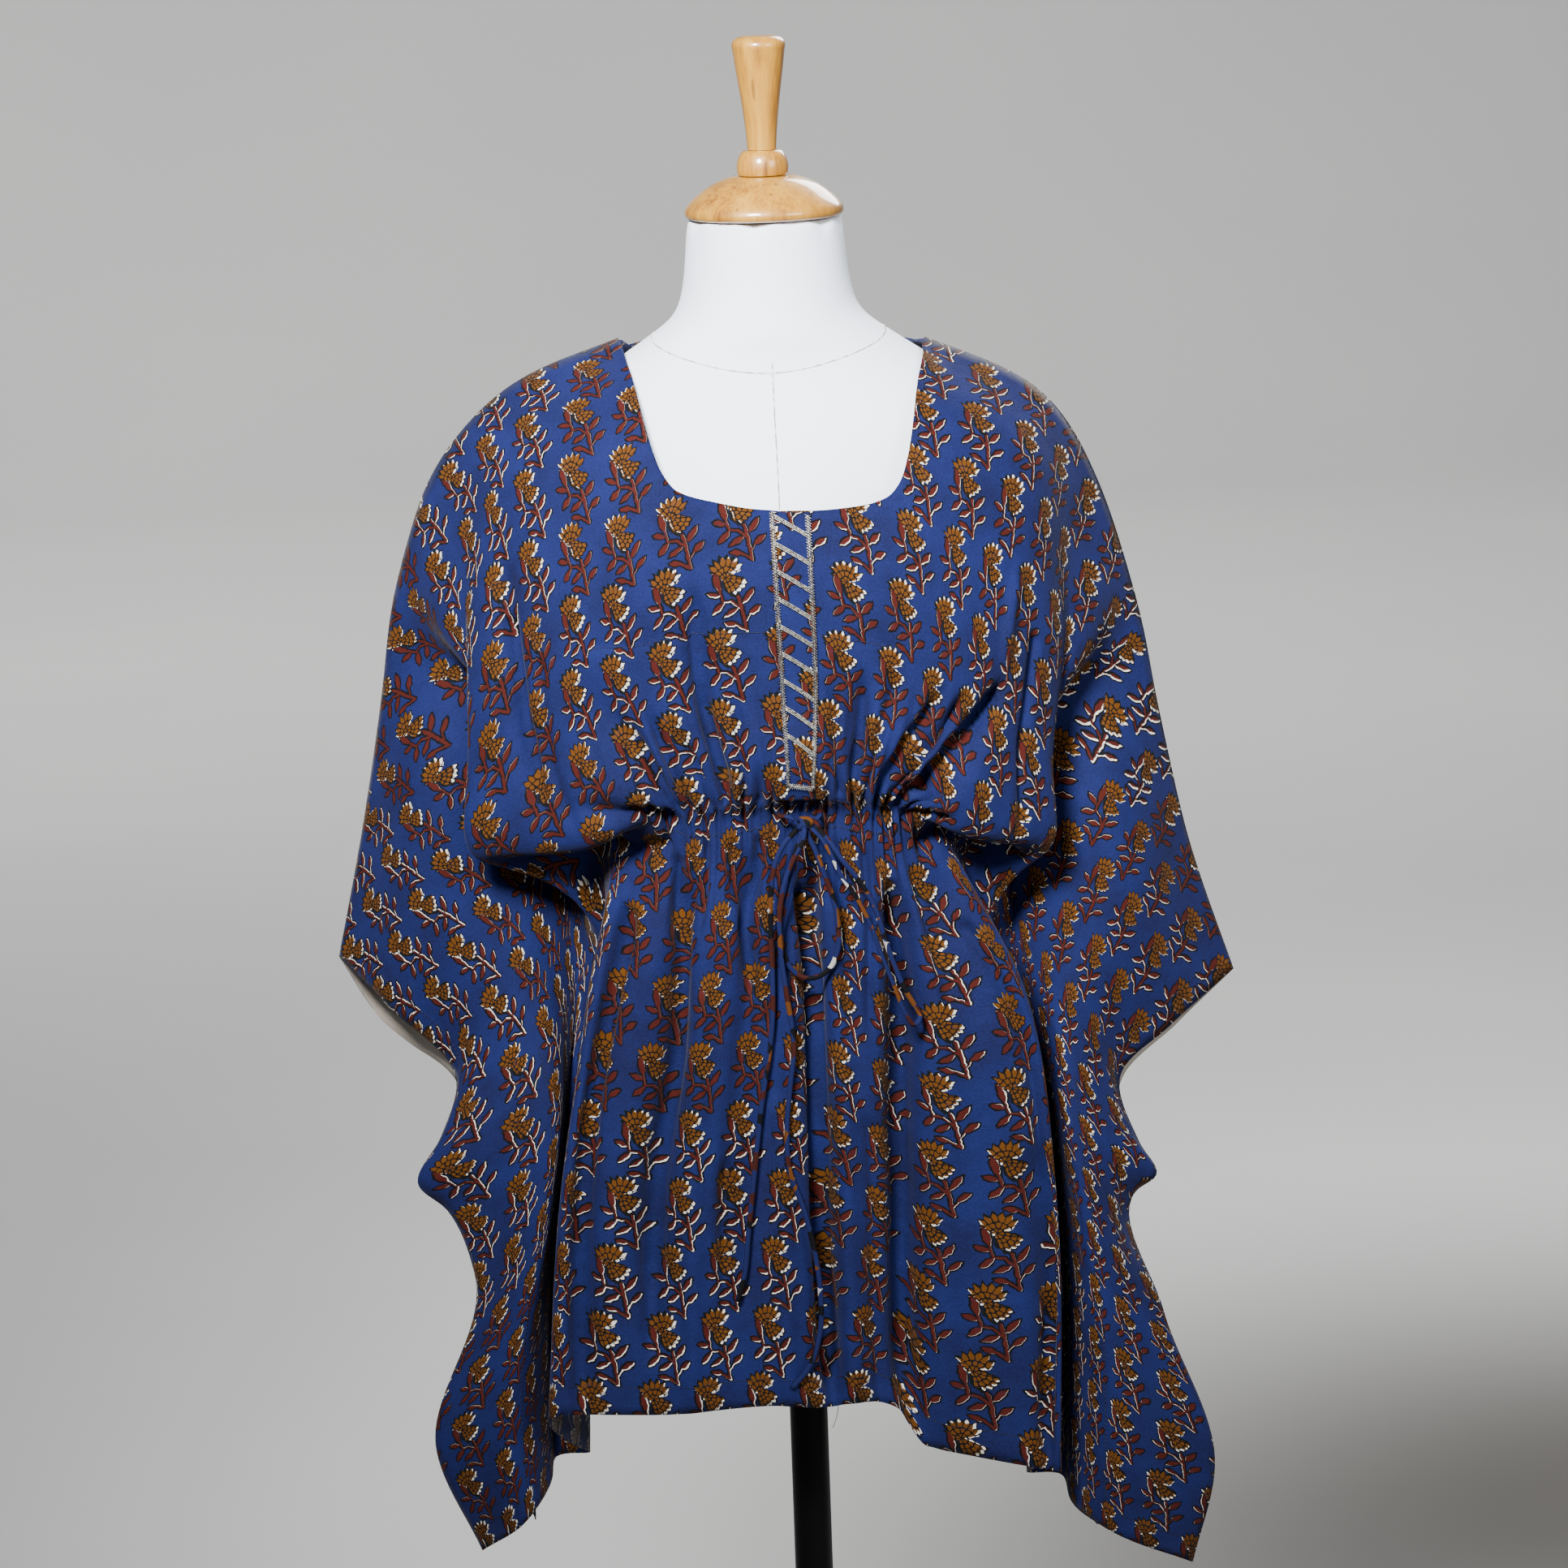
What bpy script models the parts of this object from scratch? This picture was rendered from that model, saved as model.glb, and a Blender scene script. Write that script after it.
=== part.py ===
"""Short kaftan with batwing sleeves, worn by a limbless dress form on a pole and a round base.

Metres, +Z up. The origin is on the floor at the centre of the base, and the front of the garment faces -Y.
The cloth tables are in millimetres. Their flat cloth has U across, out from its centre, and V down the grain
from the neck point of the shoulder, so a place on the garment is known by where it was in the flat cloth.
"""

import math
from collections import namedtuple

import bmesh
import bpy
import numpy as np

MM = 0.001
GAP = 0.3  # between pieces that lie on each other

# Flat cut of a panel
CUT_HALF_WIDTH = 555.0
CUT_LENGTH = 765.0
NECK_HALF_WIDTH = 98.0
SHOULDER_SLOPE = 0.445  # the cut's top edge falls this much for each millimetre towards the cuff
CASING_HALF = 125.0
SEAM_U = 475.0
ARMHOLE_V = 375.0
WING_APART = 2.5
WING_FLARE = 7.0
WING_RIPPLE = 31.0
WING_JOIN = (55.0, 12.0)  # the back comes to the front's wing between these distances inside the side seam
WING_JOIN_TOP = 75.0
WING_GUARD_TOP = 120.0
WALL = 1.6

# The neckline: at each V, its distance from the centre on the left and on the right
Neck = namedtuple("Neck", "v left right")
FRONT_NECK = (
    Neck(175, 0, 0), Neck(173, 16, 20), Neck(165, 40, 47), Neck(154, 60, 66), Neck(140, 69, 76),
    Neck(118, 76, 83), Neck(90, 82, 88), Neck(45, 90, 93), Neck(0, 98, 98),
)
BACK_NECK = (
    Neck(44, 0, 0), Neck(43, 30, 30), Neck(39, 58, 58), Neck(30, 80, 80), Neck(15, 93, 93), Neck(0, 98, 98),
)
# The line of the casing across the flat cloth
Casing = namedtuple("Casing", "u v")
CASING_LINE = (
    Casing(-555, 355), Casing(-300, 362), Casing(-125, 368), Casing(-50, 376), Casing(0, 375),
    Casing(50, 366), Casing(125, 351), Casing(300, 346), Casing(555, 346),
)

# Lines of the flat cloth that the section tables follow, by their distance from its centre
CLOTH_LINES = (0.0, 95.0, 185.0, 250.0, 320.0, 400.0, 475.0, 555.0)
TUCK_LINE = 4  # the line at the bottom of the fold between body and sleeve
TUCK_FLAT = 16.0  # half width of that bottom in the flat cloth
# Half width of that bottom as it hangs, and the way it opens at each section, in degrees outward from back
Opening = namedtuple("Opening", "half yoke bust ribs pouch casing hip skirt hem")
FRONT_OPENING = Opening(11.0, 0, 0, 0, 20, 40, 65, 90, 90)
BACK_OPENING = Opening(-13.0, 0, 0, 0, 0, 0, 0, 0, 0)
EASED_FROM = (150.0, 200.0)
EASED_TO = (500.0, 540.0)
EASING_PASSES = 8
Section = namedtuple("Section", "name centre chest side edge tuck inner seam selvedge")

# One row for each section down the cloth, (x, y, z) where each cloth line crosses it
FRONT_LEFT = (
    Section("shoulder", (0, 3, 1394), (-97, 3, 1368), (-185, 3, 1330), (-231, 3, 1277),
            (-258, 3, 1204), (-272, 3, 1118), (-287, 3, 1039), (-307, 3, 951)),
    Section("yoke", (2, -92, 1312), (-99, -76, 1325), (-178, -58, 1282), (-207, -45, 1235),
            (-215, -42, 1160), (-232, -50, 1078), (-250, -50, 1002), (-274, -30, 923)),
    Section("bust", (4, -121, 1225), (-98, -112, 1245), (-168, -92, 1205), (-210, -68, 1165),
            (-172, -40, 1108), (-190, -42, 1036), (-212, -52, 965), (-229, -32, 868)),
    Section("ribs", (6, -124, 1140), (-92, -121, 1150), (-160, -107, 1110), (-213, -80, 1095),
            (-150, -38, 1050), (-166, -36, 995), (-183, -56, 925), (-240, -46, 835)),
    Section("pouch", (6, -124, 1072), (-68, -123, 1072), (-140, -110, 1035), (-217, -88, 1034),
            (-140, -38, 990), (-153, -36, 950), (-166, -70, 880), (-257, -52, 803)),
    Section("casing", (5, -115, 1057), (-64, -114, 1057), (-122, -90, 1045), (-130, -66, 1036),
            (-131, -40, 945), (-150, -40, 905), (-163, -80, 840), (-238, -48, 783)),
    Section("hip", (4, -119, 960), (-72, -118, 960), (-138, -97, 930), (-128, -72, 940),
            (-138, -42, 880), (-156, -54, 840), (-172, -88, 780), (-221, -58, 740)),
    Section("skirt", (3, -121, 810), (-85, -119, 810), (-162, -107, 790), (-144, -72, 790),
            (-156, -42, 760), (-170, -62, 720), (-190, -92, 680), (-252, -66, 622)),
    Section("hem", (1, -122, 657), (-90, -121, 655), (-174, -114, 652), (-158, -72, 622),
            (-160, -42, 608), (-174, -62, 596), (-190, -90, 577), (-224, -56, 546)),
)
FRONT_RIGHT = (
    Section("shoulder", (0, 3, 1394), (101, 3, 1362), (188, 3, 1315), (222, 3, 1250),
            (243, 3, 1176), (258, 3, 1089), (274, 3, 1010), (302, 3, 921)),
    Section("yoke", (2, -92, 1312), (101, -76, 1319), (178, -58, 1265), (195, -42, 1210),
            (198, -40, 1135), (214, -48, 1050), (234, -50, 976), (256, -30, 890)),
    Section("bust", (4, -121, 1225), (100, -112, 1242), (160, -92, 1202), (190, -66, 1150),
            (160, -40, 1085), (182, -42, 1008), (205, -54, 934), (221, -32, 856)),
    Section("ribs", (6, -124, 1140), (92, -121, 1146), (146, -107, 1108), (181, -78, 1085),
            (144, -38, 1030), (166, -38, 965), (189, -62, 885), (232, -46, 814)),
    Section("pouch", (6, -124, 1072), (72, -123, 1070), (126, -110, 1034), (180, -88, 1024),
            (140, -38, 975), (164, -42, 915), (190, -74, 840), (243, -52, 792)),
    Section("casing", (5, -115, 1057), (69, -114, 1055), (110, -90, 1043), (121, -66, 1030),
            (142, -40, 930), (168, -50, 870), (195, -82, 795), (229, -48, 780)),
    Section("hip", (4, -119, 960), (76, -115, 950), (158, -94, 928), (142, -70, 935),
            (156, -42, 860), (176, -58, 800), (200, -86, 740), (245, -58, 699)),
    Section("skirt", (3, -121, 810), (86, -110, 790), (174, -101, 786), (154, -70, 786),
            (162, -42, 750), (180, -62, 690), (202, -88, 655), (277, -64, 594)),
    Section("hem", (1, -122, 657), (84, -106, 622), (172, -102, 600), (154, -66, 594),
            (162, -42, 583), (178, -60, 568), (200, -84, 555), (261, -52, 519)),
)
BACK_LEFT = (
    Section("shoulder", (0, 3.4, 1394), (-97, 3.4, 1368), (-185, 3.4, 1330), (-231, 3.4, 1277),
            (-258, 3.4, 1204), (-272, 3.4, 1118), (-287, 3.4, 1039), (-307, 3.4, 951)),
    Section("yoke", (0, 74, 1338), (-98, 62, 1330), (-180, 48, 1290), (-210, 40, 1238),
            (-226, 42, 1168), (-242, 42, 1080), (-262, 40, 998), (-284, 24, 905)),
    Section("bust", (0, 104, 1270), (-98, 94, 1262), (-174, 70, 1215), (-202, 52, 1168),
            (-186, 26, 1098), (-214, 28, 1028), (-234, 14, 962), (-240, 4, 860)),
    Section("ribs", (0, 110, 1190), (-99, 101, 1185), (-170, 76, 1140), (-200, 54, 1090),
            (-182, 16, 1022), (-206, 8, 962), (-206, -24, 922), (-242, -6, 830)),
    Section("pouch", (0, 106, 1110), (-99, 99, 1105), (-168, 76, 1060), (-198, 54, 1015),
            (-188, 12, 955), (-190, -16, 900), (-166, -66, 877), (-257, -30, 799)),
    Section("casing", (0, 104, 1050), (-99, 98, 1045), (-167, 78, 1000), (-197, 54, 960),
            (-190, 10, 900), (-178, -28, 850), (-163, -74, 837), (-239, -6, 774)),
    Section("hip", (0, 110, 960), (-101, 104, 955), (-169, 84, 910), (-198, 54, 870),
            (-194, 8, 820), (-176, -38, 790), (-170, -82, 777), (-223, -20, 733)),
    Section("skirt", (0, 116, 800), (-106, 109, 795), (-173, 88, 760), (-204, 54, 730),
            (-200, 6, 700), (-186, -44, 680), (-190, -86, 678), (-252, -34, 616)),
    Section("hem", (0, 122, 636), (-110, 112, 634), (-176, 90, 615), (-208, 54, 595),
            (-203, 6, 580), (-188, -44, 565), (-190, -84, 573), (-225, -10, 538)),
)
BACK_RIGHT = (
    Section("shoulder", (0, 3.4, 1394), (101, 3.4, 1362), (188, 3.4, 1315), (222, 3.4, 1250),
            (243, 3.4, 1176), (258, 3.4, 1089), (274, 3.4, 1010), (302, 3.4, 921)),
    Section("yoke", (0, 74, 1338), (100, 62, 1324), (180, 48, 1275), (200, 40, 1212),
            (210, 42, 1140), (226, 42, 1052), (246, 40, 974), (264, 24, 880)),
    Section("bust", (0, 104, 1270), (99, 94, 1256), (168, 70, 1205), (190, 52, 1142),
            (178, 26, 1072), (206, 28, 1000), (224, 14, 930), (228, 4, 848)),
    Section("ribs", (0, 110, 1190), (99, 101, 1180), (164, 76, 1130), (188, 54, 1066),
            (176, 16, 996), (204, 8, 935), (212, -24, 882), (234, -6, 810)),
    Section("pouch", (0, 106, 1110), (99, 99, 1100), (163, 76, 1050), (188, 54, 992),
            (184, 12, 930), (198, -16, 875), (192, -68, 837), (244, -30, 788)),
    Section("casing", (0, 104, 1050), (99, 98, 1040), (164, 78, 990), (190, 54, 938),
            (190, 10, 876), (196, -30, 828), (195, -76, 792), (231, -8, 771)),
    Section("hip", (0, 110, 960), (101, 104, 950), (168, 84, 900), (196, 54, 850),
            (198, 8, 800), (198, -38, 770), (197, -80, 738), (247, -20, 692)),
    Section("skirt", (0, 116, 800), (106, 109, 790), (176, 88, 748), (206, 54, 708),
            (204, 6, 680), (198, -44, 665), (198, -82, 653), (278, -30, 588)),
    Section("hem", (0, 122, 636), (110, 112, 630), (182, 90, 602), (212, 54, 575),
            (206, 6, 560), (198, -44, 548), (197, -78, 553), (262, -6, 511)),
)

# Folds drawn in cloth coordinates: a trough from (u0, v0) to (u1, v1), its half width and depth
Fold = namedtuple("Fold", "name width depth route")
FRONT_FOLDS = (
    Fold("centre skirt", 10, 17, ((13, 400), (16, 520), (17, 640), (21, 775))),
    Fold("right skirt", 11, 22, ((98, 392), (92, 460), (80, 560), (76, 660), (78, 775))),
    Fold("left skirt", 12, 12, ((-100, 395), (-96, 520), (-106, 620), (-106, 720))),
    Fold("left of centre", 9, 9, ((-44, 392), (-38, 480), (-50, 600), (-56, 700))),
    Fold("far left skirt", 10, 8, ((-142, 430), (-150, 560), (-146, 775))),
    Fold("right casing end", 10, 9, ((136, 380), (128, 440), (140, 510))),
    Fold("right of the panel", 11, 10, ((150, 560), (160, 680), (158, 775))),
    Fold("left armhole crease", 9, 6, ((-198, 150), (-200, 215), (-190, 330))),
    Fold("right fan, lowest", 8, 5, ((118, 350), (160, 315))),
    Fold("right fan, outer", 10, 11, ((97, 350), (142, 292), (184, 222))),
    Fold("right fan, middle", 9, 8, ((80, 350), (100, 305), (124, 250))),
    Fold("right fan, inner", 9, 7, ((57, 352), (50, 300), (48, 255))),
    Fold("left fan, outer", 11, 7, ((-104, 358), (-118, 300), (-140, 250))),
    Fold("left fan, middle", 10, 7, ((-82, 362), (-86, 310), (-96, 270))),
    Fold("left fan, inner", 9, 8, ((-61, 366), (-56, 290), (-52, 216))),
)
BACK_FOLDS = (
    Fold("left back", 20, 9, ((-70, 420), (-80, 775))),
    Fold("right back", 22, 10, ((60, 400), (75, 775))),
    Fold("left back hip", 16, 10, ((-150, 330), (-158, 775))),
    Fold("right back hip", 16, 9, ((148, 330), (152, 775))),
)
GATHER_PITCH = 12.5  # twenty gathers in the cloth that the casing holds
GATHER_DEPTH = 1.6
GATHER_RISE = 110.0
GATHER_FALL = 85.0
GATHER_SPREAD = 0.25  # the gathered width grows this much for each millimetre away from the casing
GATHER_MARGIN = 18.0
GATHER_FADE = 22.0
CLEAR_OF_BAND = (16.0, 26.0)  # no gathers nearer the band's middle than the first, all beyond the second
BAND_FOOT = 12.0
CASING_DIP = 3.0
CASING_DIP_WIDTH = 9.0
CASING_FADE = (8.0, 20.0)
FOLD_START = 30.0  # a fold deepens over this length from its start and fades over the next from its end
FOLD_FADE = 60.0
HEM_STEP = 20.0  # the skirt's middle is held up this much beside the deep fold on its right
HEM_STEP_U = (0.0, 66.0, 72.0, 90.0)  # it rises between the first two and drops back between the last two
HEM_STEP_V = (560.0, 765.0)

# Centre-front band and the lace on it
BAND_LEFT = -6.25
BAND_RIGHT = 18.75
BAND_END_V = 351.0
BAND_THICK = 1.0
LACE_THICK = 0.8
LACE_GAP = 0.8
LACE_INSET = 0.8
LACE_BORDER = 4.5
LACE_BARS = 9
LACE_TOP = 2.5  # from the neckline to the lace, and from there to its first bar
LACE_FIRST_BAR = 3.0
LACE_END = 1.0
LACE_BAR_RISE = 17.0
LACE_BAR_WIDTH = 6.0

# The flat cloth's own grid, and the coarser one of the panels
FLAT_STEP = 5.0
FLAT_U = np.arange(-CUT_HALF_WIDTH, CUT_HALF_WIDTH + FLAT_STEP / 2, FLAT_STEP)
FLAT_V = np.arange(0.0, CUT_LENGTH + FLAT_STEP / 2, FLAT_STEP)

# Dress form: height, half width, depth to the front and depth to the back
Ring = namedtuple("Ring", "z half front back")
TORSO_RINGS = (
    Ring(1445, 52.5, 50, 50), Ring(1420, 54, 52, 52), Ring(1395, 57, 56, 55), Ring(1380, 63, 61, 58),
    Ring(1370, 77, 64, 60), Ring(1360, 92, 64, 60), Ring(1347, 112, 67, 62), Ring(1333, 135, 73, 66),
    Ring(1316, 162, 85, 75), Ring(1295, 172, 94, 81), Ring(1266, 174, 106, 87), Ring(1230, 168, 114, 91),
    Ring(1190, 160, 118, 95), Ring(1150, 149, 114, 95), Ring(1105, 128, 100, 92), Ring(1060, 112, 88, 88),
    Ring(1010, 114, 88, 90), Ring(950, 124, 92, 95), Ring(890, 133, 96, 99), Ring(840, 136, 97, 101),
    Ring(805, 132, 94, 98), Ring(790, 120, 86, 90),
)
TORSO_SIDES = 26
FRONT_CLEARANCE = 4.5
BACK_CLEARANCE = 5.0

# Turned wood on the neck: height and radius down each profile
CAP_PROFILE = (
    (1472.5, 19), (1470.5, 26), (1466, 37), (1460, 46), (1453, 51.5), (1449, 53.3), (1446, 53), (1445.3, 51),
)
BALL_PROFILE = ((1489.5, 12), (1488, 14), (1483.5, 16.4), (1478, 17.3), (1473, 17.3))
HANDLE_PROFILE = (
    (1565.5, 10), (1564, 15), (1560.5, 17.8), (1557, 17.6), (1525, 13.2), (1500, 10.3), (1489.8, 9.6),
)
WOOD_SIDES = 24
BASE_SIDES = 48

# Stand
POLE_RADIUS = 13.0
BASE_RADIUS = 160.0
BASE_THICK = 12.0
BASE_EDGE = 3.0
POLE_X = 2.0

# Drawstring: a narrow sewn tube
STRING_RADIUS = 1.6
STRING_STEP = 9.0
STRING_END = 2.0  # the first and last straight bit of each cord
KNOT_CENTRE = (13.0, -122.0, 1054.5)
KNOT_SIZE = (7.5, 4.2, 5.2)
KNOT_GAP = 0.3
KNOT_LEAD = 2.2
EYELET_LEFT = -12.5
EYELET_RIGHT = 25.0
EYELET_LIFTS = (0.9, 3.0)
# The way each cord leaves the knot, then its route; a string ends at the knot, and a loop has both ends there
STRING_LEFT = (((1.6, -121.2, 1059.4),), (-1, 0, 0.35))
STRING_RIGHT = (((22.4, -121.6, 1059.2),), (1, 0, 0.35))
LOOP_LEFT = ((0.25, -0.3, -1), (
    (17.5, -125.2, 1041), (23.5, -125.6, 1024), (29.5, -124.5, 1005), (32.5, -123, 986),
    (31.5, -122, 968), (26.5, -122, 957), (17.5, -122, 951), (8, -122, 951), (0, -122.5, 958),
    (-5, -123.5, 971), (-4.5, -124.5, 990), (0.5, -125.5, 1010), (5.5, -126, 1030), (8.2, -124.8, 1042),
), (-0.5, -0.25, -1))
LOOP_RIGHT = ((1, 0.15, -0.45), (
    (26.5, -124.5, 1045), (36, -127.5, 1031), (47.5, -126, 1015), (57, -124.5, 997), (62.5, -123.5, 978),
    (68.5, -122.5, 958), (76.5, -121.5, 938), (81.5, -121, 929), (85, -121.5, 921), (81, -124.8, 917),
    (75.5, -127, 925), (68.5, -128.5, 944), (61, -129.5, 965), (54.5, -130.5, 985), (46, -131.5, 1004),
    (35.5, -132.2, 1021), (28, -131.6, 1038), (23.5, -129.6, 1045.5),
), (0.8, -0.75, -0.35))
TAIL_LEFT = ((-1, -0.1, -0.6), (
    (1, -125.5, 1045), (-7, -126.5, 1031), (-11, -125.5, 1010), (-12, -124.5, 985), (-12, -124.5, 955),
    (-13, -125.2, 925), (-17, -125.6, 895), (-22, -126, 868), (-26, -126.3, 840), (-30, -126.6, 810),
    (-34, -126.9, 780), (-38, -127, 750), (-43, -127.2, 733),
))
TAIL_RIGHT = ((-0.1, -1, -0.5), (
    (11, -130.6, 1045), (5, -131.8, 1034), (-1, -131.5, 1020), (-5.5, -130.5, 1000), (-6, -129, 970),
    (-3, -127.8, 940), (0.5, -126.6, 905), (-3, -126.2, 878), (-6, -126, 850), (-5, -126, 820),
    (3, -126, 795), (9.5, -125.5, 765), (12.5, -125.5, 735), (11, -125.5, 708), (2, -126.5, 684),
    (-9, -127.2, 672),
))


def clear_scene():
    for thing in list(bpy.data.objects):
        bpy.data.objects.remove(thing)


def paint(name, colour, roughness, metallic=0.0):
    """A plain Principled material in linear colour."""
    mat = bpy.data.materials.new(name)
    mat.use_nodes = True
    shader = mat.node_tree.nodes["Principled BSDF"]
    shader.inputs["Base Color"].default_value = (*colour, 1.0)
    shader.inputs["Roughness"].default_value = roughness
    shader.inputs["Metallic"].default_value = metallic
    mat.diffuse_color = (*colour, 1.0)
    return mat


def add_object(name, verts_mm, faces, mat, smooth=True):
    """One closed body from points in millimetres; its faces are turned outward."""
    mesh = bpy.data.meshes.new(name)
    mesh.from_pydata([tuple(float(c) * MM for c in v) for v in verts_mm], [], faces)
    body = bmesh.new()
    body.from_mesh(mesh)
    bmesh.ops.recalc_face_normals(body, faces=body.faces)
    body.to_mesh(mesh)
    body.free()
    if smooth:
        mesh.shade_smooth()
        mesh.set_sharp_from_angle(angle=math.radians(50))
    mesh.materials.append(mat)
    obj = bpy.data.objects.new(name, mesh)
    bpy.context.scene.collection.objects.link(obj)
    return obj


# ---------------------------------------------------------------- smooth curves through table rows


def chord_knots(points):
    """Knots that grow with the distance between points."""
    steps = np.linalg.norm(np.diff(np.asarray(points, float), axis=0), axis=1)
    return np.concatenate([[0.0], np.cumsum(np.maximum(steps, 1e-3))])


def curve_through(knots, points, at):
    """Points at parameter values on a smooth curve that passes through the given points at their knots."""
    knots = np.asarray(knots, float)
    points = np.asarray(points, float)
    at = np.clip(np.atleast_1d(np.asarray(at, float)), knots[0], knots[-1])
    steps = np.diff(knots)[:, None]
    slopes = np.diff(points, axis=0) / steps
    tangents = np.empty_like(points)
    tangents[0], tangents[-1] = slopes[0], slopes[-1]
    tangents[1:-1] = (slopes[:-1] * steps[1:] + slopes[1:] * steps[:-1]) / (steps[:-1] + steps[1:])
    seg = np.clip(np.searchsorted(knots, at, side="right") - 1, 0, len(knots) - 2)
    h = steps[seg, 0][:, None]
    t = ((at - knots[seg]) / steps[seg, 0])[:, None]
    return (
        points[seg] * (1 + 2 * t) * (1 - t) ** 2
        + tangents[seg] * h * t * (1 - t) ** 2
        + points[seg + 1] * t**2 * (3 - 2 * t)
        + tangents[seg + 1] * h * t**2 * (t - 1)
    )


def rising_map(sources, targets, at):
    """A smooth map from sources to targets that never turns back, both lists growing."""
    steps = np.diff(sources)
    slopes = np.diff(targets) / steps
    rates = np.empty(len(sources))
    rates[0], rates[-1] = slopes[0], slopes[-1]
    rates[1:-1] = 2 * slopes[:-1] * slopes[1:] / (slopes[:-1] + slopes[1:])
    seg = np.clip(np.searchsorted(sources, at, side="right") - 1, 0, len(sources) - 2)
    h = steps[seg]
    t = (at - np.asarray(sources)[seg]) / h
    targets = np.asarray(targets)
    return (
        targets[seg] * (1 + 2 * t) * (1 - t) ** 2
        + rates[seg] * h * t * (1 - t) ** 2
        + targets[seg + 1] * t**2 * (3 - 2 * t)
        + rates[seg + 1] * h * t**2 * (t - 1)
    )


def ease(value, low, high):
    """0 below low, 1 above high, and a smooth rise between them."""
    t = np.clip((value - low) / (high - low), 0.0, 1.0)
    return t * t * (3 - 2 * t)


# ---------------------------------------------------------------- the cloth's fall


def ring_at(z):
    """Half width, front depth and back depth of the dress form at a height."""
    upward = TORSO_RINGS[::-1]
    heights = [ring.z for ring in upward]
    return tuple(np.interp(z, heights, [getattr(ring, part) for ring in upward]) for part in Ring._fields[1:])


def inside_form(points, margin):
    """Below 0 where a point is within a margin of the form's surface."""
    half, front, back = ring_at(points[..., 2])
    depth = np.where(points[..., 1] < 0, front, back)
    return np.hypot(points[..., 0] / (half + margin), points[..., 1] / (depth + margin)) - 1.0


def clear_of_form(points, margin):
    """Moves points that would sink into the dress form out to its surface."""
    points = points.copy()
    low, high = TORSO_RINGS[-1].z - 20, TORSO_RINGS[2].z
    for _ in range(6):
        value = inside_form(points, margin)
        slope = np.empty_like(points)
        for axis in range(3):
            step = np.zeros(3)
            step[axis] = 0.5
            slope[..., axis] = inside_form(points + step, margin) - inside_form(points - step, margin)
        size = np.maximum(np.linalg.norm(slope, axis=-1), 1e-6)
        sunk = (value < 0) & (points[..., 2] > low) & (points[..., 2] < high)
        points += (slope / size[..., None]) * np.where(sunk, np.minimum(-value / size, 12.0), 0.0)[..., None]
    return points


def top_edge(u):
    """V of the cut's sloped top edge."""
    return SHOULDER_SLOPE * np.maximum(np.abs(u) - NECK_HALF_WIDTH, 0.0)


def cloth_start(u, neck):
    """V at which the cloth begins: the neckline near the centre, the shoulder edge beyond it."""
    depth = neck[0].v
    fallen = [depth - row.v for row in neck]
    left, right = (
        rising_map([getattr(row, side) for row in neck], fallen, np.abs(u)) for side in ("left", "right")
    )
    return np.where(np.abs(u) < NECK_HALF_WIDTH, depth - np.where(u < 0, left, right), top_edge(u))


def casing_at(u):
    """V of the casing line at U."""
    across, down = np.array(CASING_LINE, float).T
    return curve_through(across, down[:, None], np.ravel(u))[:, 0].reshape(np.shape(u))


def half_row(section, opening, side):
    """A section's points from the centre out, its tuck opened to a round bottom below the shoulder."""
    points = [np.array(p, float) for p in section[1:]]
    tuck = points[TUCK_LINE]
    if section.name == "shoulder":
        opened = []
        for k in (-1, 1):
            flat_step = abs(CLOTH_LINES[TUCK_LINE + k] - CLOTH_LINES[TUCK_LINE])
            opened.append(tuck + (points[TUCK_LINE + k] - tuck) * TUCK_FLAT / flat_step)
    else:
        turn = math.radians(getattr(opening, section.name))
        out = np.array([side * math.sin(turn), math.cos(turn), 0.0]) * opening.half
        opened = [tuck - out, tuck + out]
    return points[:TUCK_LINE] + opened + points[TUCK_LINE + 1:]


def both_sides(left, right, opening):
    """The cloth lines and one row of points per section, from the left selvedge to the right one."""
    tuck = CLOTH_LINES[TUCK_LINE]
    half = [*CLOTH_LINES[:TUCK_LINE], tuck - TUCK_FLAT, tuck + TUCK_FLAT, *CLOTH_LINES[TUCK_LINE + 1:]]
    lines = np.array([-u for u in reversed(half)] + half[1:])
    rows = [half_row(a, opening, -1)[::-1] + half_row(b, opening, 1)[1:] for a, b in zip(left, right)]
    return lines, np.array(rows)


def rounded(grid, held):
    """The grid eased where it is held, so that the cloth never bends sharper than its wall allows."""
    for _ in range(EASING_PASSES):
        soft = np.pad(grid, ((1, 1), (0, 0), (0, 0)), mode="reflect", reflect_type="odd")
        soft = (soft[:-2] + 2 * soft[1:-1] + soft[2:]) / 4
        soft = np.pad(soft, ((0, 0), (1, 1), (0, 0)), mode="reflect", reflect_type="odd")
        soft = (soft[:, :-2] + 2 * soft[:, 1:-1] + soft[:, 2:]) / 4
        grid = grid + (soft - grid) * held[None, :, None]
    return grid


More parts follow.
